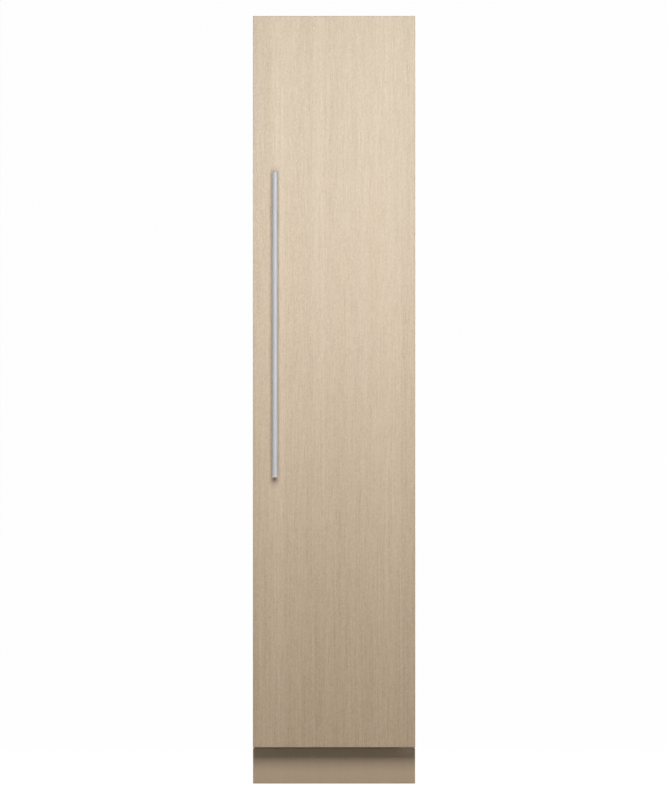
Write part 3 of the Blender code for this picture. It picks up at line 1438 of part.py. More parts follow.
def add_anti_tip_bracket():
    low = CASE_TOP_Z + FIT
    outline = [
        (CASE_DEPTH - TIP_LENGTH, low),
        (CASE_DEPTH, low),
        (CASE_DEPTH, low + TIP_HEIGHT),
        (CASE_DEPTH - TIP_THICK, low + TIP_HEIGHT),
        (CASE_DEPTH - TIP_THICK, low + TIP_THICK),
        (CASE_DEPTH - TIP_LENGTH, low + TIP_THICK),
    ]
    add_part("anti_tip_bracket", plate("YZ", [outline], (-TIP_HALF, TIP_HALF)), "galvanised")


def build():
    door = carrier("door_hinge", PIVOT_X, PIVOT_DEPTH, TOE_HEIGHT)
    add_oak_boards(door)
    add_handle(door)
    add_door_shell(door)
    add_door_liner(door)
    add_door_bins(door)
    add_hinges()
    add_cabinet_panels()
    add_liner_and_foam()
    add_ladders()
    add_drawers()
    add_shelves()
    add_ice_bin()
    add_ice_maker()
    add_level_arm()
    add_air_circuit()
    add_ceiling_fittings()
    add_base_frame()
    add_feet_and_rollers()
    add_compressor()
    add_condenser()
    add_condenser_fan()
    add_machine_boxes()
    add_rear_cover()
    add_anti_tip_bracket()


clear_scene()
PARTS = new_collection("column_freezer")
TOOLS = new_collection("cutters")
build()
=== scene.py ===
import json
from itertools import product
from math import cos, radians, sin, tau

import bmesh
import bpy
from mathutils import Matrix, Vector


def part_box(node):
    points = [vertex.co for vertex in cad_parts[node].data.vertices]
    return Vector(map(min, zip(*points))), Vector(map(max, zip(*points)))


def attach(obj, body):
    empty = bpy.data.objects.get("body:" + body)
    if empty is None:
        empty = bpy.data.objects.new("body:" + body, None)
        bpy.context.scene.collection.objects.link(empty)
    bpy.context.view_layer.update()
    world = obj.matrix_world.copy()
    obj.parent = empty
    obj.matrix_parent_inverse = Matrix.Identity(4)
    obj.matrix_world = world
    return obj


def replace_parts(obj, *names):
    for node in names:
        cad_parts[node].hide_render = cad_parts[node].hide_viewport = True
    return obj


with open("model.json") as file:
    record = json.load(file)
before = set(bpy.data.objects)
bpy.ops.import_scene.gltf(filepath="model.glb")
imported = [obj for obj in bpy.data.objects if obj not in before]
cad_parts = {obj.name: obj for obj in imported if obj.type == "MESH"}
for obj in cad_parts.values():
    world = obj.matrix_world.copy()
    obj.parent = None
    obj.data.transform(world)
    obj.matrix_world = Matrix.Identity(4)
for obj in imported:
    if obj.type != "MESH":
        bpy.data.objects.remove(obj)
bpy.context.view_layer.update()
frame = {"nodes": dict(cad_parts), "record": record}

# Places and directions, all in metres

PANEL_LOW, PANEL_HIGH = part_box("door_panel")
FRONT = PANEL_LOW.y  # the panel's front face
HAIR = 0.0001  # how far fitted faces stand apart or overlap
RIGHT, LEFT, BACK, AHEAD, UP, DOWN = (1, 0, 0), (-1, 0, 0), (0, 1, 0), (0, -1, 0), (0, 0, 1), (0, 0, -1)


def deep(distance):
    """The y of a point that far behind the door panel's face."""
    return FRONT + distance


def middle(node):
    low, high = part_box(node)
    return (low + high) / 2


def about(centre, half):
    return centre - half, centre + half


def within(low, high, gap):
    return low + gap, high - gap


def both(near, far):
    """The x ranges between two distances from the middle, on the left and on the right."""
    return (-far, -near), (near, far)


def spread(low, high, count):
    """Evenly spaced places."""
    return [low + (high - low) * step / (count - 1) for step in range(count)]


def bars(low, high, count, half):
    """Ranges about evenly spaced places."""
    return [about(place, half) for place in spread(low, high, count)]


# Materials

LOOKS = {}


def tone(*parts):
    """An sRGB colour, with parts from 11 to 255, as a linear one."""
    return tuple(((part / 255 + 0.055) / 1.055) ** 2.4 for part in parts) + (1.0,)


def grey(value):
    return (value, value, value, 1.0)


def shaded(colour, factor):
    """The same colour, made lighter or darker."""
    return tuple(min(1.0, part * factor) for part in colour[:3]) + (1.0,)


class Finish:
    """A material whose nodes are added by short calls. LOOKS keeps it under its name."""

    def __init__(self, name, **sockets):
        LOOKS[name] = bpy.data.materials.new(name)
        LOOKS[name].use_nodes = True
        self.tree = LOOKS[name].node_tree
        self.shader = self.tree.nodes["Principled BSDF"]
        for key, value in sockets.items():
            self.shader.inputs[key.replace("_", " ")].default_value = value

    def node(self, kind, inputs=None, **settings):
        made = self.tree.nodes.new(kind)
        for key, value in settings.items():
            setattr(made, key, value)
        for key, value in (inputs or {}).items():
            self.feed(made.inputs[key], value)
        return made

    def feed(self, socket, value):
        if isinstance(value, bpy.types.NodeSocket):
            self.tree.links.new(value, socket)
        else:
            socket.default_value = value

    def place(self, stretch=(1, 1, 1), shift=(0, 0, 0)):
        """Where a point is on the object, in metres, times stretch."""
        where = self.node("ShaderNodeTexCoord").outputs["Object"]
        made = self.node("ShaderNodeMapping", {"Vector": where, "Scale": stretch, "Location": shift})
        return made.outputs["Vector"]

    def noise(self, scale, stretch=(1, 1, 1), detail=3, rough=0.5, shift=(0, 0, 0)):
        inputs = {"Vector": self.place(stretch, shift), "Scale": scale, "Detail": detail, "Roughness": rough}
        return self.node("ShaderNodeTexNoise", inputs).outputs["Fac"]

    def cells(self, scale, stretch=(1, 1, 1), output="Distance"):
        inputs = {"Vector": self.place(stretch), "Scale": scale}
        return self.node("ShaderNodeTexVoronoi", inputs).outputs[output]

    def brightness(self, colour):
        return self.node("ShaderNodeRGBToBW", {0: colour}).outputs[0]

    def ramp(self, share, stops):
        made = self.node("ShaderNodeValToRGB", {"Fac": share})
        points = made.color_ramp.elements
        while len(points) < len(stops):
            points.new(0.5)
        for point, (at, colour) in zip(points, stops):
            point.position = at
            point.color = colour
        return made.outputs["Color"]

    def range(self, value, low, high, to_low=0.0, to_high=1.0):
        inputs = {"Value": value, "From Min": low, "From Max": high, "To Min": to_low, "To Max": to_high}
        return self.node("ShaderNodeMapRange", inputs).outputs["Result"]

    def math(self, kind, first, second=0.0):
        return self.node("ShaderNodeMath", {0: first, 1: second}, operation=kind).outputs[0]

    def mix(self, share, first, second, kind="MIX"):
        made = self.node("ShaderNodeMix", data_type="RGBA", blend_type=kind)
        for socket, value in zip((made.inputs[0], made.inputs[6], made.inputs[7]), (share, first, second)):
            self.feed(socket, value)
        return made.outputs[2]

    def colour(self, value):
        self.feed(self.shader.inputs["Base Color"], value)

    def rough(self, value):
        self.feed(self.shader.inputs["Roughness"], value)

    def bump(self, height, distance, strength=1.0):
        inputs = {"Height": height, "Distance": distance, "Strength": strength}
        made = self.node("ShaderNodeBump", inputs)
        self.feed(self.shader.inputs["Normal"], made.outputs["Normal"])


OAK_STOPS = [(0.06, tone(168, 145, 117)), (0.42, tone(186, 164, 135)), (0.6, tone(193, 171, 143)),
             (0.94, tone(206, 186, 160))]
PORE_TONE = tone(150, 126, 98)
# The colour of the painted shade along the panel's arrises
RIM_SHADE_TONE = tone(150, 127, 99)
# Painted light and shade down the panel: a browner tint at the foot and a yellower one at the head
FOOT_PAINTED_SHADE_TINT = (1.018, 0.98, 0.93, 1.0)
HEAD_PAINTED_LIGHT_TINT = (1.0, 1.027, 1.012, 1.0)


def oak(name, contrast, rim_shade):
    """Pale straight-grained oak in upright leaves. Painted light and shade: browner at its foot and yellower
    at its head, darker towards its left edge (most near the top), and darker along its rims.
    """
    wood = Finish(name, Metallic=0.0, Specular_IOR_Level=0.9)

    def grain(scale, along, detail, rough, shift=(0, 0, 0)):
        return wood.noise(scale, (1, 1, along), detail, rough, shift)

    streaks = grain(300, 0.006, 2, 0.6, (0.7, 0, 0))
    hairs = grain(760, 0.06, 2, 0.6)
    leaves = wood.brightness(wood.cells(17, (1, 0.01, 0.004), "Color"))
    layers = [
        (grain(22, 0.015, 2, 0.55), 0.4),
        (grain(8, 0.05, 1, 0.5, (3.1, 0, 0)), 0.3),
        (streaks, 0.72),
        (grain(330, 0.035, 2, 0.6, (0, 0, 2.9)), 0.66),
        (grain(340, 0.6, 1, 0.5, (1.9, 0, 0)), 0.8),
        (hairs, 0.45),
        (leaves, 0.2),
    ]
    parts = wood.node("ShaderNodeSeparateXYZ", {0: wood.place()}).outputs
    height = wood.range(parts["Z"], 0.1, 2.13)
    # Painted shade: the left edge of the panel is darkened, fully near the top and to 0.4 of that at the foot
    left_painted_shade = wood.range(parts["X"], PANEL_LOW.x, -0.14, 0.38 * contrast, 0.0)
    left_shade_by_height = wood.range(height, 0.0, 1.0, 0.4, 1.0)
    value = wood.math("SUBTRACT", 0.5, wood.math("MULTIPLY", left_painted_shade, left_shade_by_height))
    for layer, weight in layers:
        swing = wood.math("MULTIPLY", wood.math("SUBTRACT", layer, 0.5), weight * contrast)
        value = wood.math("ADD", value, swing)
    pits = wood.range(grain(900, 0.045, 1, 0.5, (0, 0, 5.3)), 0.66, 0.8, 0.0, 0.45 * contrast)
    shade = wood.mix(pits, wood.ramp(value, OAK_STOPS), PORE_TONE)
    # Painted light and shade: the colour is tinted browner towards the foot and yellower towards the head
    shade = wood.mix(1.0, shade, wood.mix(height, FOOT_PAINTED_SHADE_TINT, HEAD_PAINTED_LIGHT_TINT), "MULTIPLY")
    # Painted shade: the last two millimetres of the sides, head and foot are darkened towards the rim tone
    side = wood.math("ABSOLUTE", parts["X"])
    sides = wood.range(side, PANEL_HIGH.x - 0.0022, PANEL_HIGH.x - 0.0005, 0.0, rim_shade)
    head = wood.range(parts["Z"], PANEL_HIGH.z - 0.002, PANEL_HIGH.z - 0.0002, 0.0, rim_shade)
    foot = wood.range(parts["Z"], PANEL_LOW.z + 0.0025, PANEL_LOW.z + 0.0008, 0.0, rim_shade)
    rim = wood.math("MAXIMUM", wood.math("MAXIMUM", sides, head), foot)
    wood.colour(wood.mix(rim, shade, RIM_SHADE_TONE))
    wood.rough(wood.range(streaks, 0.3, 0.7, 0.46, 0.56))
    wood.bump(wood.math("SUBTRACT", hairs, pits), 0.00012, 0.5)


def brushed(name, colour, rough, along, scale=1600):
    """Metal with fine lines along one axis."""
    made = Finish(name, Metallic=1.0)
    stretch = [1.0, 1.0, 1.0]
    stretch["XYZ".index(along)] = 0.008
    lines = made.noise(scale, stretch, 3, 0.65)
    shade = made.ramp(lines, [(0.3, shaded(colour, 0.9)), (0.7, shaded(colour, 1.07))])
    cloud = made.range(made.noise(14, detail=2), 0.35, 0.7, 0.0, 0.35)
    made.colour(made.mix(cloud, shade, colour))
    made.rough(made.range(lines, 0.3, 0.7, rough * 0.85, rough * 1.2))
    made.bump(lines, 0.00003, 0.35)


def moulded(name, colour, rough, grain=900, depth=0.00003, vary=0.06):
    """Plastic or paint with a fine surface grain and slight uneven tone."""
    made = Finish(name, Metallic=0.0)
    cloud = made.noise(7)
    skin = made.noise(grain, detail=2)
    made.colour(made.ramp(cloud, [(0.3, shaded(colour, 1 - vary)), (0.7, shaded(colour, 1 + vary * 0.6))]))
    made.rough(made.range(skin, 0.3, 0.7, rough * 0.9, min(1.0, rough * 1.12)))
    made.bump(skin, depth, 0.6)


def zinc(name):
    """Galvanised sheet with its crystal pattern."""
    made = Finish(name, Metallic=0.85)
    flakes = made.brightness(made.cells(210, output="Color"))
    rolled = made.noise(260, (1, 1, 0.03), 2)
    shade = made.ramp(flakes, [(0.15, tone(166, 169, 172)), (0.85, tone(190, 192, 195))])
    lines = made.ramp(rolled, [(0.3, tone(140, 143, 147)), (0.7, tone(200, 202, 204))])
    made.colour(made.mix(0.25, shade, lines))
    made.rough(made.range(flakes, 0.0, 1.0, 0.34, 0.52))
    made.bump(rolled, 0.00004, 0.3)


def see_through(name, tint, rough, ior, edge, clear):
    """Clear plastic or glass, with faint flow marks."""
    made = Finish(name, Metallic=0.0, IOR=ior, Transmission_Weight=clear)
    flow = made.noise(30, (1, 1, 0.4), 2)
    made.colour(made.ramp(flow, [(0.3, tint), (0.7, edge)]))
    made.rough(made.range(flow, 0.3, 0.7, rough, rough * 1.8))
    made.bump(flow, 0.00004, 0.2)


def cellular(name):
    made = Finish(name, Metallic=0.0)
    holes = made.cells(420)
    shade = made.ramp(holes, [(0.1, tone(196, 170, 112)), (0.55, tone(226, 205, 150))])
    made.colour(made.mix(made.range(made.noise(9), 0.3, 0.7, 0.0, 0.5), shade, tone(214, 190, 134)))
    made.rough(made.range(holes, 0.1, 0.6, 0.95, 0.8))
    made.bump(holes, 0.0006, 0.6)


def glowing(name, colour, strength):
    """A lamp lens with fine prisms."""
    made = Finish(name, Metallic=0.0, Emission_Strength=strength)
    prisms = made.noise(700, (1, 0.02, 0.02), 1)
    made.colour(made.ramp(prisms, [(0.35, tone(226, 230, 233)), (0.65, colour)]))
    made.feed(made.shader.inputs["Emission Color"], made.ramp(prisms, [(0.3, grey(0.7)), (0.7, colour)]))
    made.rough(made.range(prisms, 0.3, 0.7, 0.25, 0.4))
    made.bump(prisms, 0.0001, 0.5)


oak("oak", contrast=1.0, rim_shade=0.5)
oak("oak_plain", contrast=0.22, rim_shade=0.0)
brushed("stainless", tone(200, 201, 203), 0.78, "Z")
brushed("aluminium", tone(190, 192, 195), 0.34, "X")
brushed("copper", tone(190, 118, 82), 0.32, "X", 500)
brushed("brass", tone(198, 166, 96), 0.3, "Z", 900)
brushed("steel", tone(160, 163, 167), 0.35, "Z", 1200)
zinc("galvanised")
moulded("white_plastic", tone(232, 234, 235), 0.38)
moulded("white_gloss", tone(238, 239, 240), 0.22, 500, 0.00001)
see_through("clear_plastic", tone(243, 247, 249), 0.05, 1.45, tone(248, 250, 251), 0.86)
see_through("glass", tone(236, 246, 242), 0.02, 1.5, tone(242, 250, 247), 0.92)
moulded("grey_paint", tone(168, 171, 174), 0.42, 1500)
moulded("black_plastic", tone(38, 39, 41), 0.46, 1100, 0.00004, 0.12)
moulded("black_gloss", tone(14, 15, 17), 0.08, 60, 0.000004, 0.2)
moulded("black_paint", tone(28, 28, 30), 0.36, 300, 0.00005, 0.15)
moulded("rubber", tone(196, 198, 198), 0.62, 1400)
moulded("rubber_dark", tone(44, 44, 46), 0.7, 1400, 0.00004, 0.1)
moulded("nylon", tone(222, 220, 210), 0.45, 1000)
cellular("foam")
moulded("back_sheet", tone(172, 175, 178), 0.45, 1300, 0.00003, 0.07)
glowing("lamp", tone(250, 252, 255), 0.8)

# The CAD nodes whose look isn't that of their material slot
NODE_LOOKS = {"toe_kick_panel": "oak_plain", "back_panel": "back_sheet", "water_valve": "black_plastic"}

for row in frame["record"]["subparts"]:
    materials = frame["nodes"][row["node"]].data.materials
    materials.clear()
    materials.append(LOOKS[NODE_LOOKS.get(row["node"], row["material_slot"])])


# Geometry

SHARP = radians(35)


def circle(sides):
    return [tau * step / sides for step in range(sides)]


class Bits:
    """Small forms gathered into one piece."""

    def __init__(self):
        self.form = bmesh.new()

    def block(self, x, y, z, edge=0.0, steps=2):
        """A box between two ends on each axis, with its edges rounded."""
        low, high = (Vector(corner) for corner in zip(x, y, z))
        size = Matrix.Diagonal((high - low).to_4d())
        made = bmesh.ops.create_cube(self.form, size=1.0)["verts"]
        bmesh.ops.transform(self.form, matrix=Matrix.Translation((low + high) / 2) @ size, verts=made)
        if edge:
            edges = {rim for corner in made for rim in corner.link_edges}
            bmesh.ops.bevel(self.form, geom=list(edges), offset=edge, segments=steps, affect="EDGES",
                            profile=0.5)
        return self

    def blocks(self, xs, ys, zs, edge=0.0):
        """A block at every mix of the ranges."""
        for x, y, z in product(xs, ys, zs):
            self.block(x, y, z, edge)
        return self

    def turned(self, start, along, profile, sides=24):
        """A turned form; profile is a list of (radius, distance along the axis)."""
        turn = Vector(UP).rotation_difference(Vector(along)).to_matrix()
        rings = []
        for radius, far in profile:
            points = [Vector((radius * cos(a), radius * sin(a), far)) for a in circle(sides)]
            rings.append([self.form.verts.new(turn @ point + Vector(start)) for point in points])
        return self.capped(rings)

    def capped(self, rings):
        self.skin(rings)
        self.form.faces.new(rings[0][::-1])
        self.form.faces.new(rings[-1])
        return self

    def skin(self, rings):
        for near, far in zip(rings, rings[1:]):
            for step in range(len(near)):
                after = (step + 1) % len(near)
                self.form.faces.new((near[step], near[after], far[after], far[step]))

    def tube(self, points, radius, sides=10):
        """A round tube along straight pieces, with its ends closed."""
        points = [Vector(point) for point in points]
        heading = (points[1] - points[0]).normalized()
        side = heading.orthogonal().normalized()
        rings = []
        for before, point, after in zip(points[:1] + points, points, points[1:] + points[-1:]):
            new = (after - before).normalized()
            side = heading.rotation_difference(new) @ side
            heading = new
            up = heading.cross(side)
            spokes = [cos(a) * side + sin(a) * up for a in circle(sides)]
            rings.append([self.form.verts.new(point + radius * spoke) for spoke in spokes])
        return self.capped(rings)

    def bends(self, low, high, y, levels, reach, turn, radius, first=0):
        """The U bends of a coil, from each level to the next, at its left and right ends by turns."""
        for row, (z, above) in enumerate(zip(levels, levels[1:])):
            side, edge = (1, high) if (row + first) % 2 else (-1, low)
            inner, outer = edge - side * 0.004, edge + side * reach
            line = [(inner, y, z), (outer, y, z), (outer, y, above), (inner, y, above)]
            self.tube(path(line, turn), radius, 12)
        return self

    def prism(self, outline, low, high, at=(0, 0)):
        """An outline of (y, z) points about a place, drawn out along x."""
        rings = [[self.form.verts.new((x, at[0] + y, at[1] + z)) for y, z in outline] for x in (low, high)]
        return self.capped(rings)

    def frame(self, half, low, high, profile):
        """A mitred upright frame; profile is a list of (distance outwards, y)."""
        rings = []
        for side, end in ((-1, low), (1, low), (1, high), (-1, high)):
            up = 1 if end == high else -1
            ring = [(side * (half + out), y, end + up * out) for out, y in profile]
            rings.append([self.form.verts.new(point) for point in ring])
        self.skin(rings + rings[:1])
        return self

    def done(self, name, slot, look=None, body="cabinet"):
        bmesh.ops.recalc_face_normals(self.form, faces=self.form.faces)
        for face in self.form.faces:
            face.smooth = True
        for edge in self.form.edges:
            edge.smooth = edge.calc_face_angle(0.0) < SHARP
        mesh = bpy.data.meshes.new(name)
        self.form.to_mesh(mesh)
        self.form.free()
        mesh.materials.append(LOOKS[look or slot])
        made = placed(name, mesh)
        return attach(made, body)


def placed(name, data):
    made = bpy.data.objects.new(name, data)
    bpy.context.scene.collection.objects.link(made)
    return made


def path(points, radius, steps=6):
    """A line through points with its corners rounded."""
    made = [Vector(points[0])]
    for before, corner, after in zip(points, points[1:], points[2:]):
        corner = Vector(corner)
        near = corner + (Vector(before) - corner).normalized() * radius
        far = corner + (Vector(after) - corner).normalized() * radius
        for share in spread(0, 1, steps + 1):
            made.append(near.lerp(corner, share).lerp(corner.lerp(far, share), share))
    return made + [Vector(points[-1])]


def add_blocks(name, xs, ys, zs, edge, slot, look=None, body="cabinet"):
    Bits().blocks(xs, ys, zs, edge).done(name, slot, look, body)


def add_screws(name, xs, ys, zs, way, radius, height=0.0012, slot="galvanised", look="steel", body="cabinet"):
    """Low round heads with sockets at every mix of places. RIGHT stands for outwards, LEFT for inwards."""
    socket = radius * 0.45
    profile = [(radius, 0), (radius, height * 0.5), (radius * 0.8, height), (socket, height),
               (socket * 0.9, height * 0.25)]
    heads = Bits()
    for x, y, z in product(xs, ys, zs):
        side = -1 if x < 0 else 1
        heads.turned((x, y, z), (side * way[0], way[1], way[2]), profile, 18)
    heads.done(name, slot, look, body)


# Each function from here to the camera adds the small pieces of one area

# Door


def add_handle():
    """The posts' flanges and set screws, and the domed ends of the bar."""
    low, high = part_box("handle_bar")
    x, y = (low.x + high.x) / 2, (low.y + high.y) / 2
    sunk = 0.0002
    levels = [middle(node).z for node in ("handle_post_bottom", "handle_post_top")]
    disc = [(0.0069, 0), (0.0074, 0.0005), (0.0074, 0.001), (0.0069, 0.0015)]
    flanges, ends = Bits(), Bits()
    for z in levels:
        flanges.turned((x, FRONT - HAIR, z), AHEAD, disc)
    flanges.done("handle_flanges", "stainless", body="door")
    post_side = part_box("handle_post_top")[0].x + sunk
    add_screws("handle_set_screws", [post_side], [FRONT - 0.012], levels, RIGHT,
               radius=0.0024, height=0.0006, slot="stainless", body="door")
    dome = [(0.0066, 0), (0.0062, 0.00028), (0.003, 0.0004), (0.001, 0.0004)]
    for z, way in ((low.z + sunk, DOWN), (high.z - sunk, UP)):
        ends.turned((x, y, z), way, dome, 32)
    ends.done("handle_end_caps", "stainless", body="door")


def add_toe_kick():
    """The strips that close the board's top and foot."""
    low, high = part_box("toe_kick_panel")
    overlap, gap = 0.003, 0.0004
    add_blocks("toe_kick_top_strip", [within(low.x, high.x, 0.001)], [(low.y + 0.0005, high.y - 0.001)],
               [(high.z - overlap, high.z + 0.0032)], 0.0006, "oak", "oak_plain")
    add_blocks("toe_kick_floor_strip", [within(low.x, high.x, gap)], [(low.y + gap, low.y + 0.006)],
               [(HAIR, low.z + overlap)], 0.0003, "oak", "oak_plain")


def add_door():
    """The screws of skin and liner, the liner's ribs, the hinge bushings, and the top cap's ribs."""
    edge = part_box("door_skin")[1].x
    add_screws("door_skin_screws", (-edge, edge), [deep(0.046)], spread(0.18, 2.03, 7), RIGHT,
               radius=0.0038, slot="stainless", body="door")
    low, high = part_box("door_liner")
    flange, edge = low.y + 0.0025, high.x - 0.0045
    add_screws("door_liner_screws", (-edge, edge), [flange], spread(0.2, 2.02, 9), BACK,
               radius=0.003, height=0.001, slot="white_plastic", look="nylon", body="door")
    add_blocks("door_liner_ribs", bars(-0.12, 0.12, 5, half=0.006), [(deep(0.07), deep(0.0722))],
               [(0.335, 0.835), (1.56, 2.03)], 0.0012, "white_plastic", body="door")
    collar = [(0.0056, 0), (0.0056, 0.0005), (0.0078, 0.0012), (0.0085, 0.001), (0.0085, 0)]
    low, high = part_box("door_cap_top")
    hinge_x, hinge_y = 0.213, deep(0.031)
    bushes = Bits()
    for z, way in ((high.z, 1), (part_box("door_cap_bottom")[0].z, -1)):
        bushes.turned((hinge_x, hinge_y, z - way * 0.001), (0, 0, way), collar)
    bushes.done("door_hinge_bushings", "nylon", body="door")
    add_blocks("door_cap_top_ribs", bars(-0.19, 0.16, 8, half=0.0015), [within(low.y, high.y, 0.006)],
               [(high.z - 0.0003, high.z + 0.0012)], 0.0005, "black_plastic", body="door")


def add_gasket():
    """The seal with its magnet strip, folds and inner lip."""
    low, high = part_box("door_gasket")
    half_wide = 0.013
    # Millimetres outwards from the seal's middle line and back from its base
    profile = [(-8.5, 0.0), (8.5, 0.0), (8.5, 1.3), (4.0, 2.4), (3.6, 2.9), (9.5, 3.9), (12.6, 4.9),
               (13.0, 5.6), (13.0, 7.8), (12.4, 8.5), (1.5, 8.6), (0.0, 8.1), (-1.5, 8.6), (-12.4, 8.5),
               (-13.0, 7.6), (-12.8, 6.4), (-6.5, 5.2), (-6.0, 4.6), (-10.5, 3.4), (-10.8, 2.8),
               (-5.0, 1.9), (-8.5, 1.2)]
    ring = Bits().frame(high.x - half_wide, low.z + half_wide, high.z - half_wide,
                        [(out / 1000, low.y + back / 1000) for out, back in profile])
    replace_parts(ring.done("door_gasket_folds", "rubber", body="door"), "door_gasket")


def add_bin(number):
    """A door bin's metal rail, the clips and ridges on its ends, and its floor ribs."""
    body = f"door_bin_{number}"
    low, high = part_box(body)
    x, back, top, floor = high.x - 0.01, high.y, high.z - 0.004, low.z + 0.003
    section = [(HAIR, -0.016), (0.0018, -0.0152), (0.0024, -0.008), (0.0018, -0.0008), (HAIR, 0)]
    Bits().prism(section, -x, x, at=(back, top)).done(f"{body}_rail", "aluminium", body=body)
    ends = Bits().blocks(both(x - 0.006, x + 0.0006), [(back - 0.001, back + 0.003)],
                         [(top - 0.0175, top + 0.0012)], edge=0.0008)
    ridges = [(low.z + rise, low.z + rise + 0.003) for rise in (0.03, 0.044, 0.058)]
    ends.blocks(both(x + 0.0002, x + 0.0014), [(low.y + 0.035, low.y + 0.075)], ridges, edge=0.0004)
    ends.done(f"{body}_end_clips", "white_plastic", body=body)
    wall = 0.012
    add_blocks(f"{body}_floor_ribs", [within(-x, x, wall)], bars(low.y + wall, high.y - wall, 9, half=0.001),
               [(floor, floor + 0.0016)], 0.0004, "clear_plastic", body=body)


# Cabinet front, liner and shelves


def add_front():
    """The strip round the liner's mouth, and the screws of the front frame."""
    low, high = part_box("inner_liner")
    wall = 0.0032
    profile = [(0.0003, 0.082), (0.0003, 0.0794), (0.0012, 0.0788), (0.0062, 0.0788), (0.007, 0.0794),
               (0.007, 0.0799), (0.0014, 0.0799), (0.0014, 0.082)]
    strip = Bits().frame(high.x - wall, low.z + wall, high.z - wall,
                         [(out, deep(depth)) for out, depth in profile])
    strip.done("breaker_strip", "white_plastic", "white_gloss")
    low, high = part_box("front_frame")
    edge = high.x - 0.0052
    add_screws("front_frame_screws", (-edge, edge), [low.y], spread(0.3, 2.06, 7), AHEAD, radius=0.0034)


def add_ladder():
    """The slots, screws and shelf clips of both shelf supports."""
    face = 0.1722
    shelves = [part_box(f"glass_shelf_{step}")[0].z for step in (1, 2, 3)]
    drawers = [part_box(f"drawer_basket_{step}")[0].z for step in (1, 2, 3)]
    rails = shelves + drawers + [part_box("ice_bin")[0].z]
    free = [z for z in spread(0.332, 1.976, 69) if not any(-0.02 < z - rail < 0.006 for rail in rails)]
    add_blocks("ladder_slots", both(face - 0.0002, face), bars(deep(0.228), deep(0.44), 2, half=0.002),
               [about(z, 0.007) for z in free], 0.0, "white_plastic", "rubber_dark")
    add_screws("ladder_screws", (-face, face), [deep(0.335)], (0.32, 0.74, 1.25, 1.66, 1.99), LEFT,
               radius=0.0045, slot="white_plastic", look="nylon")
    add_blocks("shelf_clips", both(0.17, 0.172), bars(deep(0.247), deep(0.423), 2, half=0.015),
               [(z - 0.0005, z + 0.01) for z in shelves], 0.0006, "nylon")


def add_shelf(number):
    """A shelf's front trim and the stop along its back."""
    node = f"glass_shelf_{number}"
    low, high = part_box(node)
    section = [(-0.003, -0.0008), (-0.004, 0.001), (-0.004, 0.0066), (-0.0028, 0.0082), (0.007, 0.0082),
               (0.007, 0.0052), (-0.0002, 0.0052), (-0.0002, -0.0002), (0.007, -0.0002), (0.007, -0.0014),
               (-0.002, -0.0014)]
    trim = Bits().prism(section, *within(low.x, high.x, 0.0005), at=(low.y, low.z))
    trim.done(f"{node}_trim", "aluminium")
    foot, inset = low.z + 0.0051, 0.012
    stop = Bits().block(within(low.x, high.x, inset), (high.y - 0.006, high.y - 0.001),
                        (foot, low.z + 0.0185), edge=0.0012)
    stop.blocks(both(high.x - 2 * inset, high.x - inset), [(high.y - 0.02, high.y - 0.0062)],
                [(foot, low.z + 0.01)], edge=0.001)
    stop.done(f"{node}_stop", "white_plastic")


def add_drawer(number):
    """A drawer's grip trim, the ribs of its basket, and its label frame."""
    body = f"drawer_{number}"
    low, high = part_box(f"drawer_front_{number}")
    section = [(-0.0013, -0.0068), (-0.0019, -0.0056), (-0.0019, -0.0012), (-0.001, -0.0002),
               (-HAIR, -0.0002), (-HAIR, -0.0068)]
    trim = Bits().prism(section, *within(low.x, high.x, 0.002), at=(low.y, high.z))
    trim.done(f"{body}_grip_trim", "aluminium", body=body)
    label_z = (low.z + high.z) / 2 - 0.01
    low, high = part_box(f"drawer_basket_{number}")
    floor, sides = low.z + 0.0025, both(high.x, high.x + 0.002)
    ribs = Bits().blocks(sides, bars(low.y + 0.03, high.y - 0.02, 7, half=0.0015),
                         [(low.z + 0.012, high.z - 0.01)], edge=0.0006)
    ribs.blocks(sides, [(low.y + 0.006, high.y - 0.004)], [(high.z - 0.009, high.z - 0.002)], edge=0.0007)
    ribs.blocks([(-0.135, 0.135)], bars(low.y + 0.04, high.y - 0.03, 6, half=0.0012),
                [(floor, floor + 0.0017)], edge=0.0004)
    ribs.done(f"{body}_basket_ribs", "clear_plastic", body=body)
    front, back, wide = deep(0.2087), deep(0.2095), 0.0018
    label = Bits().frame(0.03, *about(label_z, 0.01), [(0, back), (0, front), (wide, front), (wide, back)])
    label.blocks(bars(-0.125, 0.125, 2, half=0.018), [(front, back)],
                 [(label_z - 0.022, label_z - 0.0195)], edge=0.0004)
    label.done(f"{body}_label_frame", "white_plastic", "white_gloss", body)


def add_ice_bin():
    low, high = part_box("ice_bin")
    front, foot, sides = deep(0.205), low.z + 0.014, both(high.x, high.x + 0.002)
    ribs = Bits().blocks(bars(-0.138, 0.138, 13, half=0.0022), [(front - 0.0016, front)],
                         [(foot, high.z - 0.022)], edge=0.0008)
    ribs.blocks(sides, bars(deep(0.232), deep(0.44), 8, half=0.002), [(foot, high.z - 0.014)], edge=0.0007)
    ribs.blocks(sides, [(deep(0.209), deep(0.452))], [(high.z - 0.01, high.z - 0.003)], edge=0.0008)
    ribs.done("ice_bin_ribs", "white_plastic", body="ice_bin")
    add_blocks("ice_bin_grip_ridges", bars(-0.048, 0.048, 9, half=0.0012), [(deep(0.1962), deep(0.1971))],
               [(high.z - 0.009, high.z - 0.001)], 0.0003, "white_plastic", "rubber", "ice_bin")


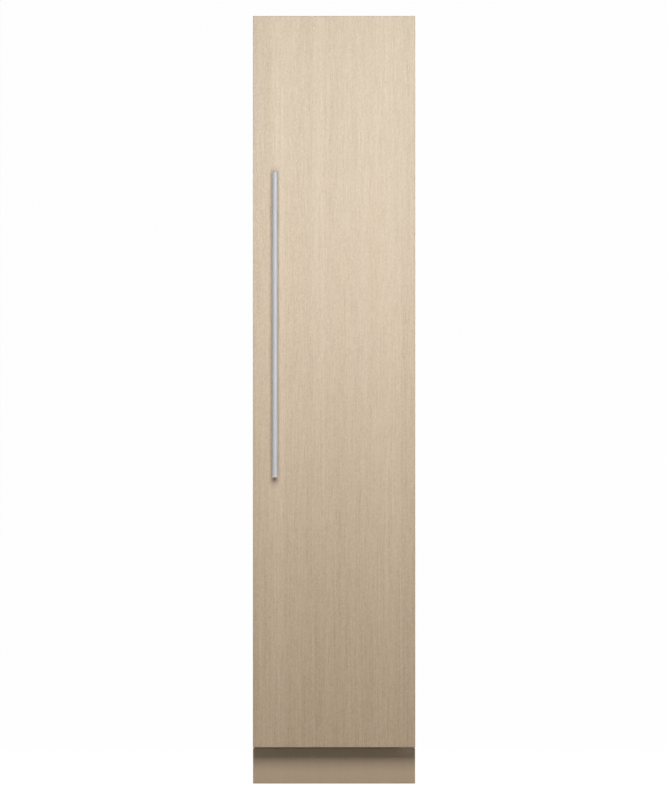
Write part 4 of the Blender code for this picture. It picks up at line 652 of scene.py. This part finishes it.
def add_ice_maker():
    """Its cover plate with a rocker switch and screws, the ribs on its roof, and the spout that fills it."""
    low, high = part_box("ice_maker_housing")
    x, front, plate = (low.x + high.x) / 2, low.y, low.y - 0.0035
    cover = Bits().block(within(low.x, high.x, 0.006), (plate, front + 0.001), within(low.z, high.z, 0.006),
                         edge=0.0022)
    cover.block(within(low.x, high.x, 0.016), (front - 0.0046, front - 0.003),
                (high.z - 0.026, high.z - 0.014), edge=0.0008)
    cover.done("ice_maker_front_cover", "white_plastic", "white_gloss")
    switch = Bits()
    switch.block(about(x, 0.011), (front - 0.0048, front - 0.003), (low.z + 0.05, low.z + 0.072), edge=0.001)
    switch.block(about(x, 0.008), (front - 0.0072, front - 0.0042), (low.z + 0.06, low.z + 0.07), edge=0.0012)
    switch.done("ice_maker_switch", "black_plastic")
    add_screws("ice_maker_screws", within(low.x, high.x, 0.014), [plate], (low.z + 0.014, high.z - 0.02),
               AHEAD, radius=0.0032, height=0.0009)
    y, top, level = high.y - 0.012, high.z - HAIR, high.z + 0.03
    roof = Bits().blocks([within(low.x, high.x, 0.01)], bars(low.y + 0.07, high.y - 0.03, 7, half=0.0015),
                         [(top, high.z + 0.0028)], edge=0.0006)
    roof.blocks(bars(low.x + 0.0055, high.x - 0.0055, 2, half=0.0015), [within(low.y, high.y, 0.004)],
                [(top, high.z + 0.005)], edge=0.0006)
    roof.done("ice_maker_roof_ribs", "white_plastic")
    funnel = [(0.016, 0), (0.016, 0.002), (0.009, 0.006), (0.009, 0.011), (0.0065, 0.012)]
    spout = Bits().tube(path([(x, y, high.z + 0.01), (x, y, level), (x, high.y, level)], 0.008), 0.006, 16)
    spout.turned((x, y, top), UP, funnel).done("ice_maker_fill_spout", "white_plastic", "nylon")


def add_ice_tray():
    """The tray's ribs, and the bush of the level arm."""
    low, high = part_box("ice_tray")
    add_blocks("ice_tray_ribs", bars(low.x, high.x, 2, half=0.0008),
               bars(low.y + 0.012, high.y - 0.012, 12, half=0.001), [(low.z + 0.01, high.z - 0.004)],
               0.0003, "white_plastic", "nylon", "ice_tray")
    axis = (0.0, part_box("ice_level_arm")[0].y + 0.0002, 1.845)
    bush = [(0.003, 0), (0.0034, 0.0004), (0.0034, 0.003), (0.0024, 0.0036)]
    Bits().turned(axis, BACK, bush, 20).done("ice_level_arm_bush", "nylon", body="ice_level_arm")


def add_control_panel():
    """The glass on the panel's slope, its lit marks, and its end ribs."""
    low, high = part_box("control_panel")
    lip, slope = 0.013, 0.02
    top = Vector((low.y, high.z - lip))
    foot = Vector((low.y + slope, low.z))
    length = (foot - top).length
    down = (foot - top).normalized()
    out = Vector((down.y, -down.x))

    def on_slope(start, end, rise, under=0.0):
        first = top + down * start + out * under
        second = top + down * end + out * under
        return [first, second, second + out * rise, first + out * rise]

    margin, thick, film, centre = 0.0016, 0.001, 0.0002, length / 2
    glass = Bits().prism(on_slope(margin, length - margin, thick), *within(low.x, high.x, 0.004))
    glass.done("control_panel_glass", "black_plastic", "black_gloss")
    line = on_slope(centre - 0.003, centre - 0.0018, film, thick)
    dot = on_slope(centre + 0.003, centre + 0.0038, film, thick)
    digit = on_slope(*about(centre, 0.0012), film, thick)
    marks = Bits()
    for x in (-0.09, -0.06, 0.06, 0.09):
        marks.prism(line, *about(x, 0.0045))
        marks.prism(dot, *about(x, 0.0008))
    for x in spread(-0.024, 0.024, 7):
        marks.prism(digit, *about(x, 0.0022))
    marks.done("control_panel_marks", "clear_plastic", "lamp")
    add_blocks("control_panel_end_ribs", bars(low.x + 0.0014, high.x - 0.0014, 2, half=0.0015),
               [(low.y + 0.024, high.y - 0.004)], [(low.z - 0.0012, high.z - 0.004)], 0.0006, "black_plastic")


def add_light_bar():
    low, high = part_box("light_bar")
    lip, proud = high.z - 0.0035, 0.0012
    ends = Bits().blocks(both(high.x - 0.01, high.x + 0.0022), [within(low.y, high.y, -proud)],
                         [(low.z - proud, high.z)], edge=0.001)
    ends.blocks([(low.x, high.x)], [(low.y - 0.002, low.y + 0.0005), (high.y - 0.0005, high.y + 0.002)],
                [(lip, high.z)], edge=0.0006)
    ends.done("light_bar_housing", "white_plastic")


def add_air():
    """The raised channels, slot hoods and screws of the evaporator cover."""
    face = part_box("evaporator_cover")[0].y
    sunk = face + 0.0005
    channel = Bits().block((-0.06, 0.06), (face - 0.007, sunk), (0.985, 1.475), edge=0.0045, steps=3)
    channel.blocks(both(0.08, 0.15), [(face - 0.0022, sunk)], [(0.47, 1.47)], edge=0.0016)
    channel.done("air_channel", "white_plastic")
    pitch = 0.022
    slots = [0.345 + pitch * step for step in range(4)] + [1.52 + pitch * step for step in range(5)]
    hood = [(0.0002, 0.0086), (0.0002, 0.0114), (-0.005, 0.0072), (-0.0052, 0.006)]
    hoods = Bits().blocks(bars(-0.0825, 0.0825, 7, half=0.001), [(face - 0.0004, face + 0.0026)],
                          [(z - 0.0002, z + 0.0084) for z in slots])
    for z in slots:
        hoods.prism(hood, -0.11, 0.11, at=(face, z))
    hoods.done("air_slot_hoods", "white_plastic")
    add_screws("evaporator_cover_screws", (-0.165, 0.165), [face], (0.318, 0.9, 1.5, 1.65, 2.04),
               AHEAD, radius=0.0042, height=0.0014, slot="white_plastic", look="nylon")


def add_evaporator_bends():
    low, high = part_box("evaporator")
    levels = spread(low.z + 0.025, high.z - 0.025, 7)
    tubes = Bits().bends(low.x, high.x, high.y - 0.012, levels, reach=0.01, turn=0.009, radius=0.004)
    tubes.done("evaporator_bends", "aluminium")


# Machine room and base

COMPRESSOR = middle("compressor")
MOUNTS = list(product(about(COMPRESSOR.x, 0.073), about(COMPRESSOR.y, 0.05)))
FAN_X, FAN_Z = middle("condenser_shroud").x, middle("condenser_fan").z


def add_compressor_shell():
    """A smooth pressed shell with its base plate, in place of the faceted solid."""
    low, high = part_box("compressor")
    x, y, floor, radius = COMPRESSOR.x, COMPRESSOR.y, low.z, 0.07
    seam, reach, foot = 0.099, 0.005, 0.014
    crown = high.z - floor - seam
    profile = [(radius * 0.5, foot)]
    for turn in [radians(15 * step) for step in range(7)]:
        profile.append((radius - foot * (1 - sin(turn)), foot + foot * (1 - cos(turn))))
    weld = [(0, -0.005), (0.8, -0.0042), (1, -0.0032), (1, 0.0032), (0.8, 0.0042), (0, 0.005)]
    profile += [(radius + reach * share, seam + rise) for share, rise in weld]
    for turn in [radians(5 + 5 * step) for step in range(1, 17)]:
        profile.append((radius * cos(turn), seam + crown * sin(turn)))
    shell = Bits().turned((x, y, floor), UP, profile, 72)
    shell.block((low.x, high.x), about(y, 0.062), (floor + 0.01, floor + 0.016), edge=0.002)
    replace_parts(shell.done("compressor_shell", "black_paint"), "compressor")


def add_compressor():
    """The rubber feet, outlet, terminal cover, mounting bolts, process tube and band."""
    x, y, floor = COMPRESSOR.x, COMPRESSOR.y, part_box("compressor")[0].z
    grommet = [(0.0095, 0), (0.01, 0.0008), (0.01, 0.005), (0.0082, 0.0062), (0.0082, 0.01),
               (0.0082, 0.016), (0.0098, 0.0164), (0.0098, 0.0176), (0.009, 0.018)]
    feet = Bits()
    for place in MOUNTS:
        feet.turned((*place, floor), UP, grommet)
    feet.done("compressor_feet", "rubber", "rubber_dark")
    pipe = [(0.0037, 0), (0.004, 0.0003), (0.004, 0.0297), (0.0037, 0.03)]
    stub = Bits().turned((x - 0.04, y, floor + 0.125), UP, pipe)
    stub.turned((x - 0.04, y, floor + 0.138), UP, [(0.0068, 0), (0.0062, 0.006), (0.0046, 0.008)])
    stub.done("compressor_outlet", "copper")
    box = Bits().block((x + 0.058, x + 0.086), about(y, 0.03), (0.095, 0.165), edge=0.004, steps=3)
    box.block((x + 0.084, x + 0.088), about(y, 0.006), (0.098, 0.162), edge=0.001)
    box.done("compressor_terminal_cover", "black_plastic")
    nut = [(0.0075, 0), (0.0075, 0.0012), (0.0046, 0.0012), (0.0046, 0.0052), (0.0026, 0.0056),
           (0.0026, 0.0095)]
    bolts = Bits()
    for place in MOUNTS:
        bolts.turned((*place, 0.065), UP, nut, 6)
    bolts.done("compressor_bolts", "galvanised", "steel")
    side, back, level, tip = x - 0.044, y - 0.074, 0.11, 0.2
    line = path([(x - 0.03, y - 0.05, level), (side, back, level), (side, back, tip)], 0.01)
    tube = Bits().tube(line, 0.0032, 12)
    tube.block(about(side, 0.0035), about(back, 0.0008), (tip - 0.0015, tip + 0.01), edge=0.0006)
    tube.done("compressor_process_tube", "copper")
    band = [(0.0702, 0), (0.0716, 0.0006), (0.0716, 0.006), (0.0702, 0.0066)]
    Bits().turned((x, y, 0.108), UP, band, 48).done("compressor_band", "galvanised", "steel")


def add_condenser():
    low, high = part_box("condenser")
    levels = spread(low.z + 0.018, high.z - 0.018, 6)
    tubes = Bits()
    for column, y in enumerate((low.y + 0.012, high.y - 0.008)):
        tubes.bends(low.x, high.x, y, levels, reach=0.012, turn=0.01, radius=0.0036, first=column)
    tubes.done("condenser_bends", "copper")
    add_blocks("condenser_end_plates", bars(low.x, high.x, 2, half=0.0012), [(low.y - 0.002, high.y)],
               [(low.z, high.z)], 0.0004, "galvanised")


def add_fan_cap(fan, place, way, radius, shoulder, slot):
    profile = [(radius, 0), (radius, 0.0004), (shoulder, 0.0014), (0.004, 0.0018), (0.0036, 0.001)]
    Bits().turned(place, way, profile, 28).done(f"{fan}_cap", slot, body=fan)


def add_fan_wires():
    """Three wires from the motor, down the shroud and back to the electronics box."""
    motor, behind, clip = deep(0.274), deep(0.289), deep(0.436)
    wall, box = FAN_X - 0.118, FAN_X - 0.08
    wires = Bits()
    for shift in (0.0, 0.003, 0.006):
        start, side, low = FAN_X - 0.01 + shift, FAN_X - 0.06 + shift, 0.05 + shift
        line = path([(start, motor, FAN_Z), (start, behind, FAN_Z), (side, behind, FAN_Z - 0.03),
                     (side, behind, low), (wall, behind + shift, low), (wall, clip, low),
                     (box, clip, low + 0.04), (box, deep(0.4402), low + 0.05)], 0.004)
        wires.tube(line, 0.0012, 8)
    wires.done("fan_wires", "black_plastic")


def add_fan():
    """The caps of both fans, and the condenser fan's wires and motor cap."""
    sunk = 0.0005
    place = (FAN_X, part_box("condenser_fan")[0].y + sunk, FAN_Z)
    add_fan_cap("condenser_fan", place, AHEAD, radius=0.0165, shoulder=0.012, slot="black_plastic")
    place = (0.0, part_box("evaporator_fan")[1].y - sunk, middle("evaporator_fan").z)
    add_fan_cap("evaporator_fan", place, BACK, radius=0.015, shoulder=0.011, slot="white_plastic")
    add_fan_wires()
    back, ring = deep(0.275), 0.019
    rim = [(0.016, 0), (0.016, 0.0008), (0.008, 0.0022), (0.006, 0.0022)]
    can = Bits().turned((FAN_X, back, FAN_Z), BACK, rim, 28)
    for angle in circle(8):
        place = (FAN_X + ring * cos(angle), back - HAIR, FAN_Z + ring * sin(angle))
        can.turned(place, BACK, [(0.0014, 0), (0.0014, 0.0005), (0.0008, 0.0008)], 12)
    can.done("condenser_motor_cap", "black_plastic", "steel")


def add_electronics():
    """The lid of the electronics box with its vents, and the plugs in its front."""
    low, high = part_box("electronics_box")
    proud = 0.0012
    lid = Bits().block(within(low.x, high.x, -proud), within(low.y, high.y, -proud),
                       (high.z - 0.016, high.z + 0.0018), edge=0.0016)
    lid.blocks(bars(low.x + 0.02, high.x - 0.02, 11, half=0.002), [(low.y + 0.03, low.y + 0.075)],
               [(high.z + 0.0008, high.z + 0.003)], edge=0.0006)
    lid.done("electronics_box_lid", "black_plastic")
    plugs = Bits()
    for x in spread(low.x + 0.025, high.x - 0.03, 4):
        plugs.block(about(x, 0.009), (low.y - 0.006, low.y + 0.0005), (low.z + 0.03, low.z + 0.044),
                    edge=0.0008)
        plugs.blocks(bars(x - 0.006, x + 0.006, 4, half=0.001), [(low.y - 0.0075, low.y - 0.0055)],
                     [(low.z + 0.035, low.z + 0.039)])
    plugs.done("electronics_box_plugs", "white_plastic", "nylon")


def add_drain_pan_ribs():
    low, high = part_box("drain_pan")
    proud = 0.0012
    add_blocks("drain_pan_ribs", bars(low.x + 0.02, high.x - 0.02, 8, half=0.0015),
               [(low.y - proud, low.y), (high.y, high.y + proud)], [within(low.z, high.z, 0.003)],
               0.0004, "black_plastic")


def add_shroud():
    """The ribs round the fan's opening, and the screws of the shroud."""
    ribs = Bits()
    centre = Vector((FAN_X, deep(0.2163), FAN_Z))
    for angle in circle(12):
        reach = Vector((cos(angle), 0, sin(angle)))
        ribs.tube([centre + reach * 0.0775, centre + reach * 0.09], 0.0016, 8)
    ribs.done("condenser_shroud_ribs", "black_plastic")
    add_screws("condenser_shroud_screws", (-0.19, 0.0), [deep(0.213)], (0.07, 0.215), AHEAD, radius=0.0036)


def add_base_rivets():
    low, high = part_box("base_frame")
    add_screws("base_frame_rivets", (-high.x, high.x), spread(low.y + 0.04, high.y - 0.12, 6), [0.075],
               RIGHT, radius=0.003, height=0.0004)


def add_ground(side):
    """The thread and hexagon of a foot, and the three bands of a roller's tread."""
    body = f"foot_{side}"
    place = middle(body)
    thread = Bits()
    for z in spread(0.0185, 0.0425, 17):
        thread.turned((place.x, place.y, z), UP, [(0.0049, 0), (0.0056, 0.0006), (0.0049, 0.0012)])
    thread.done(f"{body}_thread", "galvanised", "steel", body)
    pad = Bits().turned((place.x, place.y, 0.0062), UP, [(0.0125, 0), (0.0125, 0.006), (0.0115, 0.007)], 6)
    pad.done(f"{body}_hex", "galvanised", "steel", body)
    body = f"roller_{side}"
    place = middle(body)
    band = [(0.0196, 0), (0.02, 0.0004), (0.02, 0.002), (0.0196, 0.0024)]
    tread = Bits()
    for shift in (-0.006, 0.0, 0.006):
        tread.turned((place.x + shift - 0.0012, place.y, place.z), RIGHT, band, 40)
    tread.done(f"{body}_tread", "rubber", "rubber_dark", body)


# Back and case


def add_rear_cover():
    """The hoods of the louvres, and the cover's screws."""
    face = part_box("rear_cover")[1].y
    hood = [(-HAIR, 0.0064), (-HAIR, 0.0086), (0.0019, 0.0052), (0.0017, 0.0042)]
    hoods = Bits()
    for x, row in product(both(0.032, 0.148), range(6)):
        hoods.prism(hood, *x, at=(face, 0.115 + 0.018 * row))
    hoods.done("rear_cover_louvre_hoods", "grey_paint")
    add_screws("rear_cover_screws", (-0.21, 0.0, 0.21), [face], (0.04, 0.236), BACK,
               radius=0.0042, height=0.0016)


def add_power_inlet():
    inlet = middle("power_inlet")
    pins = Bits()
    for shift, rise in ((-0.0062, 0.0), (0.0062, 0.0), (0.0, 0.0028)):
        pins.block(about(inlet.x + shift, 0.0011), (deep(0.5945), deep(0.606)),
                   about(inlet.z + rise, 0.002), edge=0.0004)
    pins.done("power_inlet_pins", "stainless", "brass")
    add_screws("power_inlet_screws", about(inlet.x, 0.018), [deep(0.609)], [inlet.z], BACK,
               radius=0.0024, height=0.0009)


def add_water_valve():
    """The valve's hose nut, the turns of its coil, and the coil's two tabs."""
    x, y, z = middle("water_valve").x, deep(0.589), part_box("water_valve")[0].z + 0.022
    union = [(0.0118, 0), (0.0118, 0.0012), (0.0104, 0.0018), (0.0075, 0.0018), (0.007, 0.0002)]
    Bits().turned((x, deep(0.6078), z), BACK, union, 6).done("water_valve_nut", "copper", "brass")
    turn = [(0.0131, 0), (0.0138, 0.0008), (0.0138, 0.002), (0.0131, 0.0028)]
    coil = Bits()
    for step in range(6):
        coil.turned((x, y, z + 0.026 + 0.004 * step), UP, turn)
    coil.done("water_valve_coil_turns", "copper")
    add_blocks("water_valve_tabs", bars(x - 0.005, x + 0.005, 2, half=0.0024), [(y - 0.0166, y - 0.0128)],
               [(z + 0.034, z + 0.0352)], 0.0, "stainless", "steel")


def add_anti_tip():
    low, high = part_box("anti_tip_bracket")
    add_screws("anti_tip_screws", (-0.04, 0.0, 0.04), [low.y + 0.022], [low.z + 0.002], UP,
               radius=0.0055, height=0.0022)
    add_blocks("anti_tip_slots", bars(-0.03, 0.03, 2, half=0.01), [(high.y - 0.0023, high.y - 0.0018)],
               [(low.z + 0.006, low.z + 0.01)], 0.0002, "galvanised", "rubber_dark")


def add_side_panel():
    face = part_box("side_panel_right")[1].x
    add_blocks("side_panel_ribs", both(face, face + 0.0009), bars(deep(0.18), deep(0.51), 3, half=0.014),
               [(0.28, 2.06)], 0.0008, "grey_paint")
    add_screws("side_panel_screws", (-face, face), (deep(0.096), deep(0.598)), spread(0.26, 2.08, 8),
               RIGHT, radius=0.0036, height=0.0011)


def add_top_panel():
    """The top's screws, its ribs with the cable boss, and the seal strip along its front."""
    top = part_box("top_panel")[1].z
    add_screws("top_panel_screws", spread(-0.2, 0.2, 5), (deep(0.11), deep(0.595)), [top], UP,
               radius=0.004, height=0.0014)
    ribs = Bits().blocks([(-0.195, 0.195)], bars(deep(0.2), deep(0.46), 3, half=0.012),
                         [(top - HAIR, top + 0.0022)], edge=0.0018)
    ribs.block((-0.205, -0.15), (deep(0.13), deep(0.165)), (top - HAIR, top + 0.012), edge=0.002)
    ribs.done("top_panel_ribs", "grey_paint")
    seal = Bits().block((-0.216, 0.216), (deep(0.084), deep(0.098)), (top, top + 0.01), edge=0.003, steps=3)
    seal.done("top_seal_strip", "rubber", "rubber_dark")


def add_back_sheet():
    """The back panel with upright beads pressed into it and a flat rim."""
    low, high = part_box("back_panel")
    sunk, slope, half, rim = 0.0009, 0.0008, 0.011, 0.058
    levels = [(low.z, 0), (low.z + rim, 0), (low.z + rim + slope, 1), (high.z - rim - slope, 1),
              (high.z - rim, 0), (high.z, 0)]
    sheet, rings = Bits(), []
    for z, share in levels:
        line = [(low.x, low.y), (low.x, high.y)]
        for x in spread(low.x + 0.05, high.x - 0.05, 6):
            for shift, part in ((-half - slope, 0), (-half, share), (half, share), (half + slope, 0)):
                line.append((x + shift, high.y - sunk * part))
        line += [(high.x, high.y), (high.x, low.y)]
        rings.append([sheet.form.verts.new((x, y, z)) for x, y in line])
    sheet.capped(rings)
    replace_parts(sheet.done("back_panel_sheet", "grey_paint", "back_sheet"), "back_panel")


def add_hinge_bolts():
    head = [(0.005, 0), (0.005, 0.0008), (0.0044, 0.003), (0.0024, 0.0032), (0.0022, 0.0012)]
    inset = 0.0105
    bolts = Bits()
    for z in (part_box("hinge_bracket_top")[1].z - inset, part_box("hinge_bracket_bottom")[0].z + inset):
        for x in (0.166, 0.184):
            bolts.turned((x, deep(0.077), z), AHEAD, head, 6)
    bolts.done("hinge_bolts", "galvanised", "steel")


add_handle()
add_toe_kick()
add_door()
add_gasket()
for count in (1, 2, 3):
    add_bin(count)
    add_shelf(count)
    add_drawer(count)
add_front()
add_ladder()
add_ice_bin()
add_ice_maker()
add_ice_tray()
add_control_panel()
add_light_bar()
add_air()
add_evaporator_bends()
add_compressor_shell()
add_compressor()
add_condenser()
add_fan()
add_electronics()
add_drain_pan_ribs()
add_shroud()
add_base_rivets()
for name in ("left", "right"):
    add_ground(name)
add_rear_cover()
add_power_inlet()
add_water_valve()
add_anti_tip()
add_side_panel()
add_top_panel()
add_back_sheet()
add_hinge_bolts()


# Camera, light and floor

CAMERA_X, CAMERA_Z = -0.0016, 1.067
CAMERA_AWAY = 60.0
SEEN_HEIGHT = 2.2226


def add_camera():
    data = bpy.data.cameras.new("camera")
    data.sensor_fit = "VERTICAL"
    data.sensor_height = 36.0
    data.lens = data.sensor_height * CAMERA_AWAY / SEEN_HEIGHT
    data.clip_end = 200.0
    made = placed("camera", data)
    made.location = (CAMERA_X, FRONT - CAMERA_AWAY, CAMERA_Z)
    made.rotation_euler = (radians(90), 0, 0)
    bpy.context.scene.camera = made


def add_light(name, place, towards, size, watts):
    data = bpy.data.lights.new(name, "AREA")
    data.shape = "RECTANGLE"
    data.size, data.size_y = size
    data.energy = watts
    made = placed(name, data)
    made.location = place
    made.rotation_euler = (Vector(towards) - Vector(place)).to_track_quat("-Z", "Y").to_euler()
    made.visible_camera = False


def add_lights():
    key_z = 1.82
    add_light("key", (0.0, FRONT - 2.45, key_z), (0.0, FRONT, key_z), size=(0.9, 1.5), watts=57)
    for side in (-1, 1):
        add_light(f"side_{side}", (side * 3.0, 3.0, 2.2), (0, 0.1, 1.1), size=(1.2, 2.2), watts=120)
    add_light("rear", (0.0, 3.6, 2.6), (0, 0.3, 1.1), size=(2.0, 2.0), watts=34)
    add_light("above", (0.0, 0.6, 4.6), (0, 0.2, 2.1), size=(1.5, 1.5), watts=40)


def add_backdrop(name, corners, faces, seen, mirrored):
    """A surface that glows just short of full white and lights nothing but what mirrors it."""
    look = name + "_white"
    Finish(look, Roughness=1.0, Base_Color=grey(0.05), Emission_Color=grey(1.0), Emission_Strength=0.98,
           Specular_IOR_Level=0.0)
    mesh = bpy.data.meshes.new(name)
    mesh.from_pydata(corners, [], faces)
    mesh.materials.append(LOOKS[look])
    made = placed(name, mesh)
    made.visible_diffuse = False
    made.visible_shadow = False
    made.visible_camera = seen
    made.visible_glossy = mirrored


def add_stage():
    """A white floor, a white wall all round, and a near wall that only the metal mirrors."""
    far, tall, sides = 110.0, 90.0, 48
    low = [(far * cos(a), far * sin(a), 0) for a in circle(sides)]
    high = [(x, y, tall) for x, y, z in low]
    add_backdrop("floor", low, [tuple(range(sides))], seen=True, mirrored=True)
    walls = [(step, (step + 1) % sides, sides + (step + 1) % sides, sides + step) for step in range(sides)]
    add_backdrop("wall", low + high, walls, seen=True, mirrored=False)
    half, y, top = 30, 6, 20
    near = [(-half, y, 0), (half, y, 0), (half, y, top), (-half, y, top)]
    add_backdrop("near_wall", near, [(0, 1, 2, 3)], seen=False, mirrored=True)


def add_world():
    world = bpy.data.worlds.new("world")
    world.use_nodes = True
    background = world.node_tree.nodes["Background"].inputs
    background["Color"].default_value = grey(1.0)
    background["Strength"].default_value = 0.175
    bpy.context.scene.world = world
    bpy.context.scene.view_settings.view_transform = "Standard"


add_camera()
add_stage()
add_lights()
add_world()
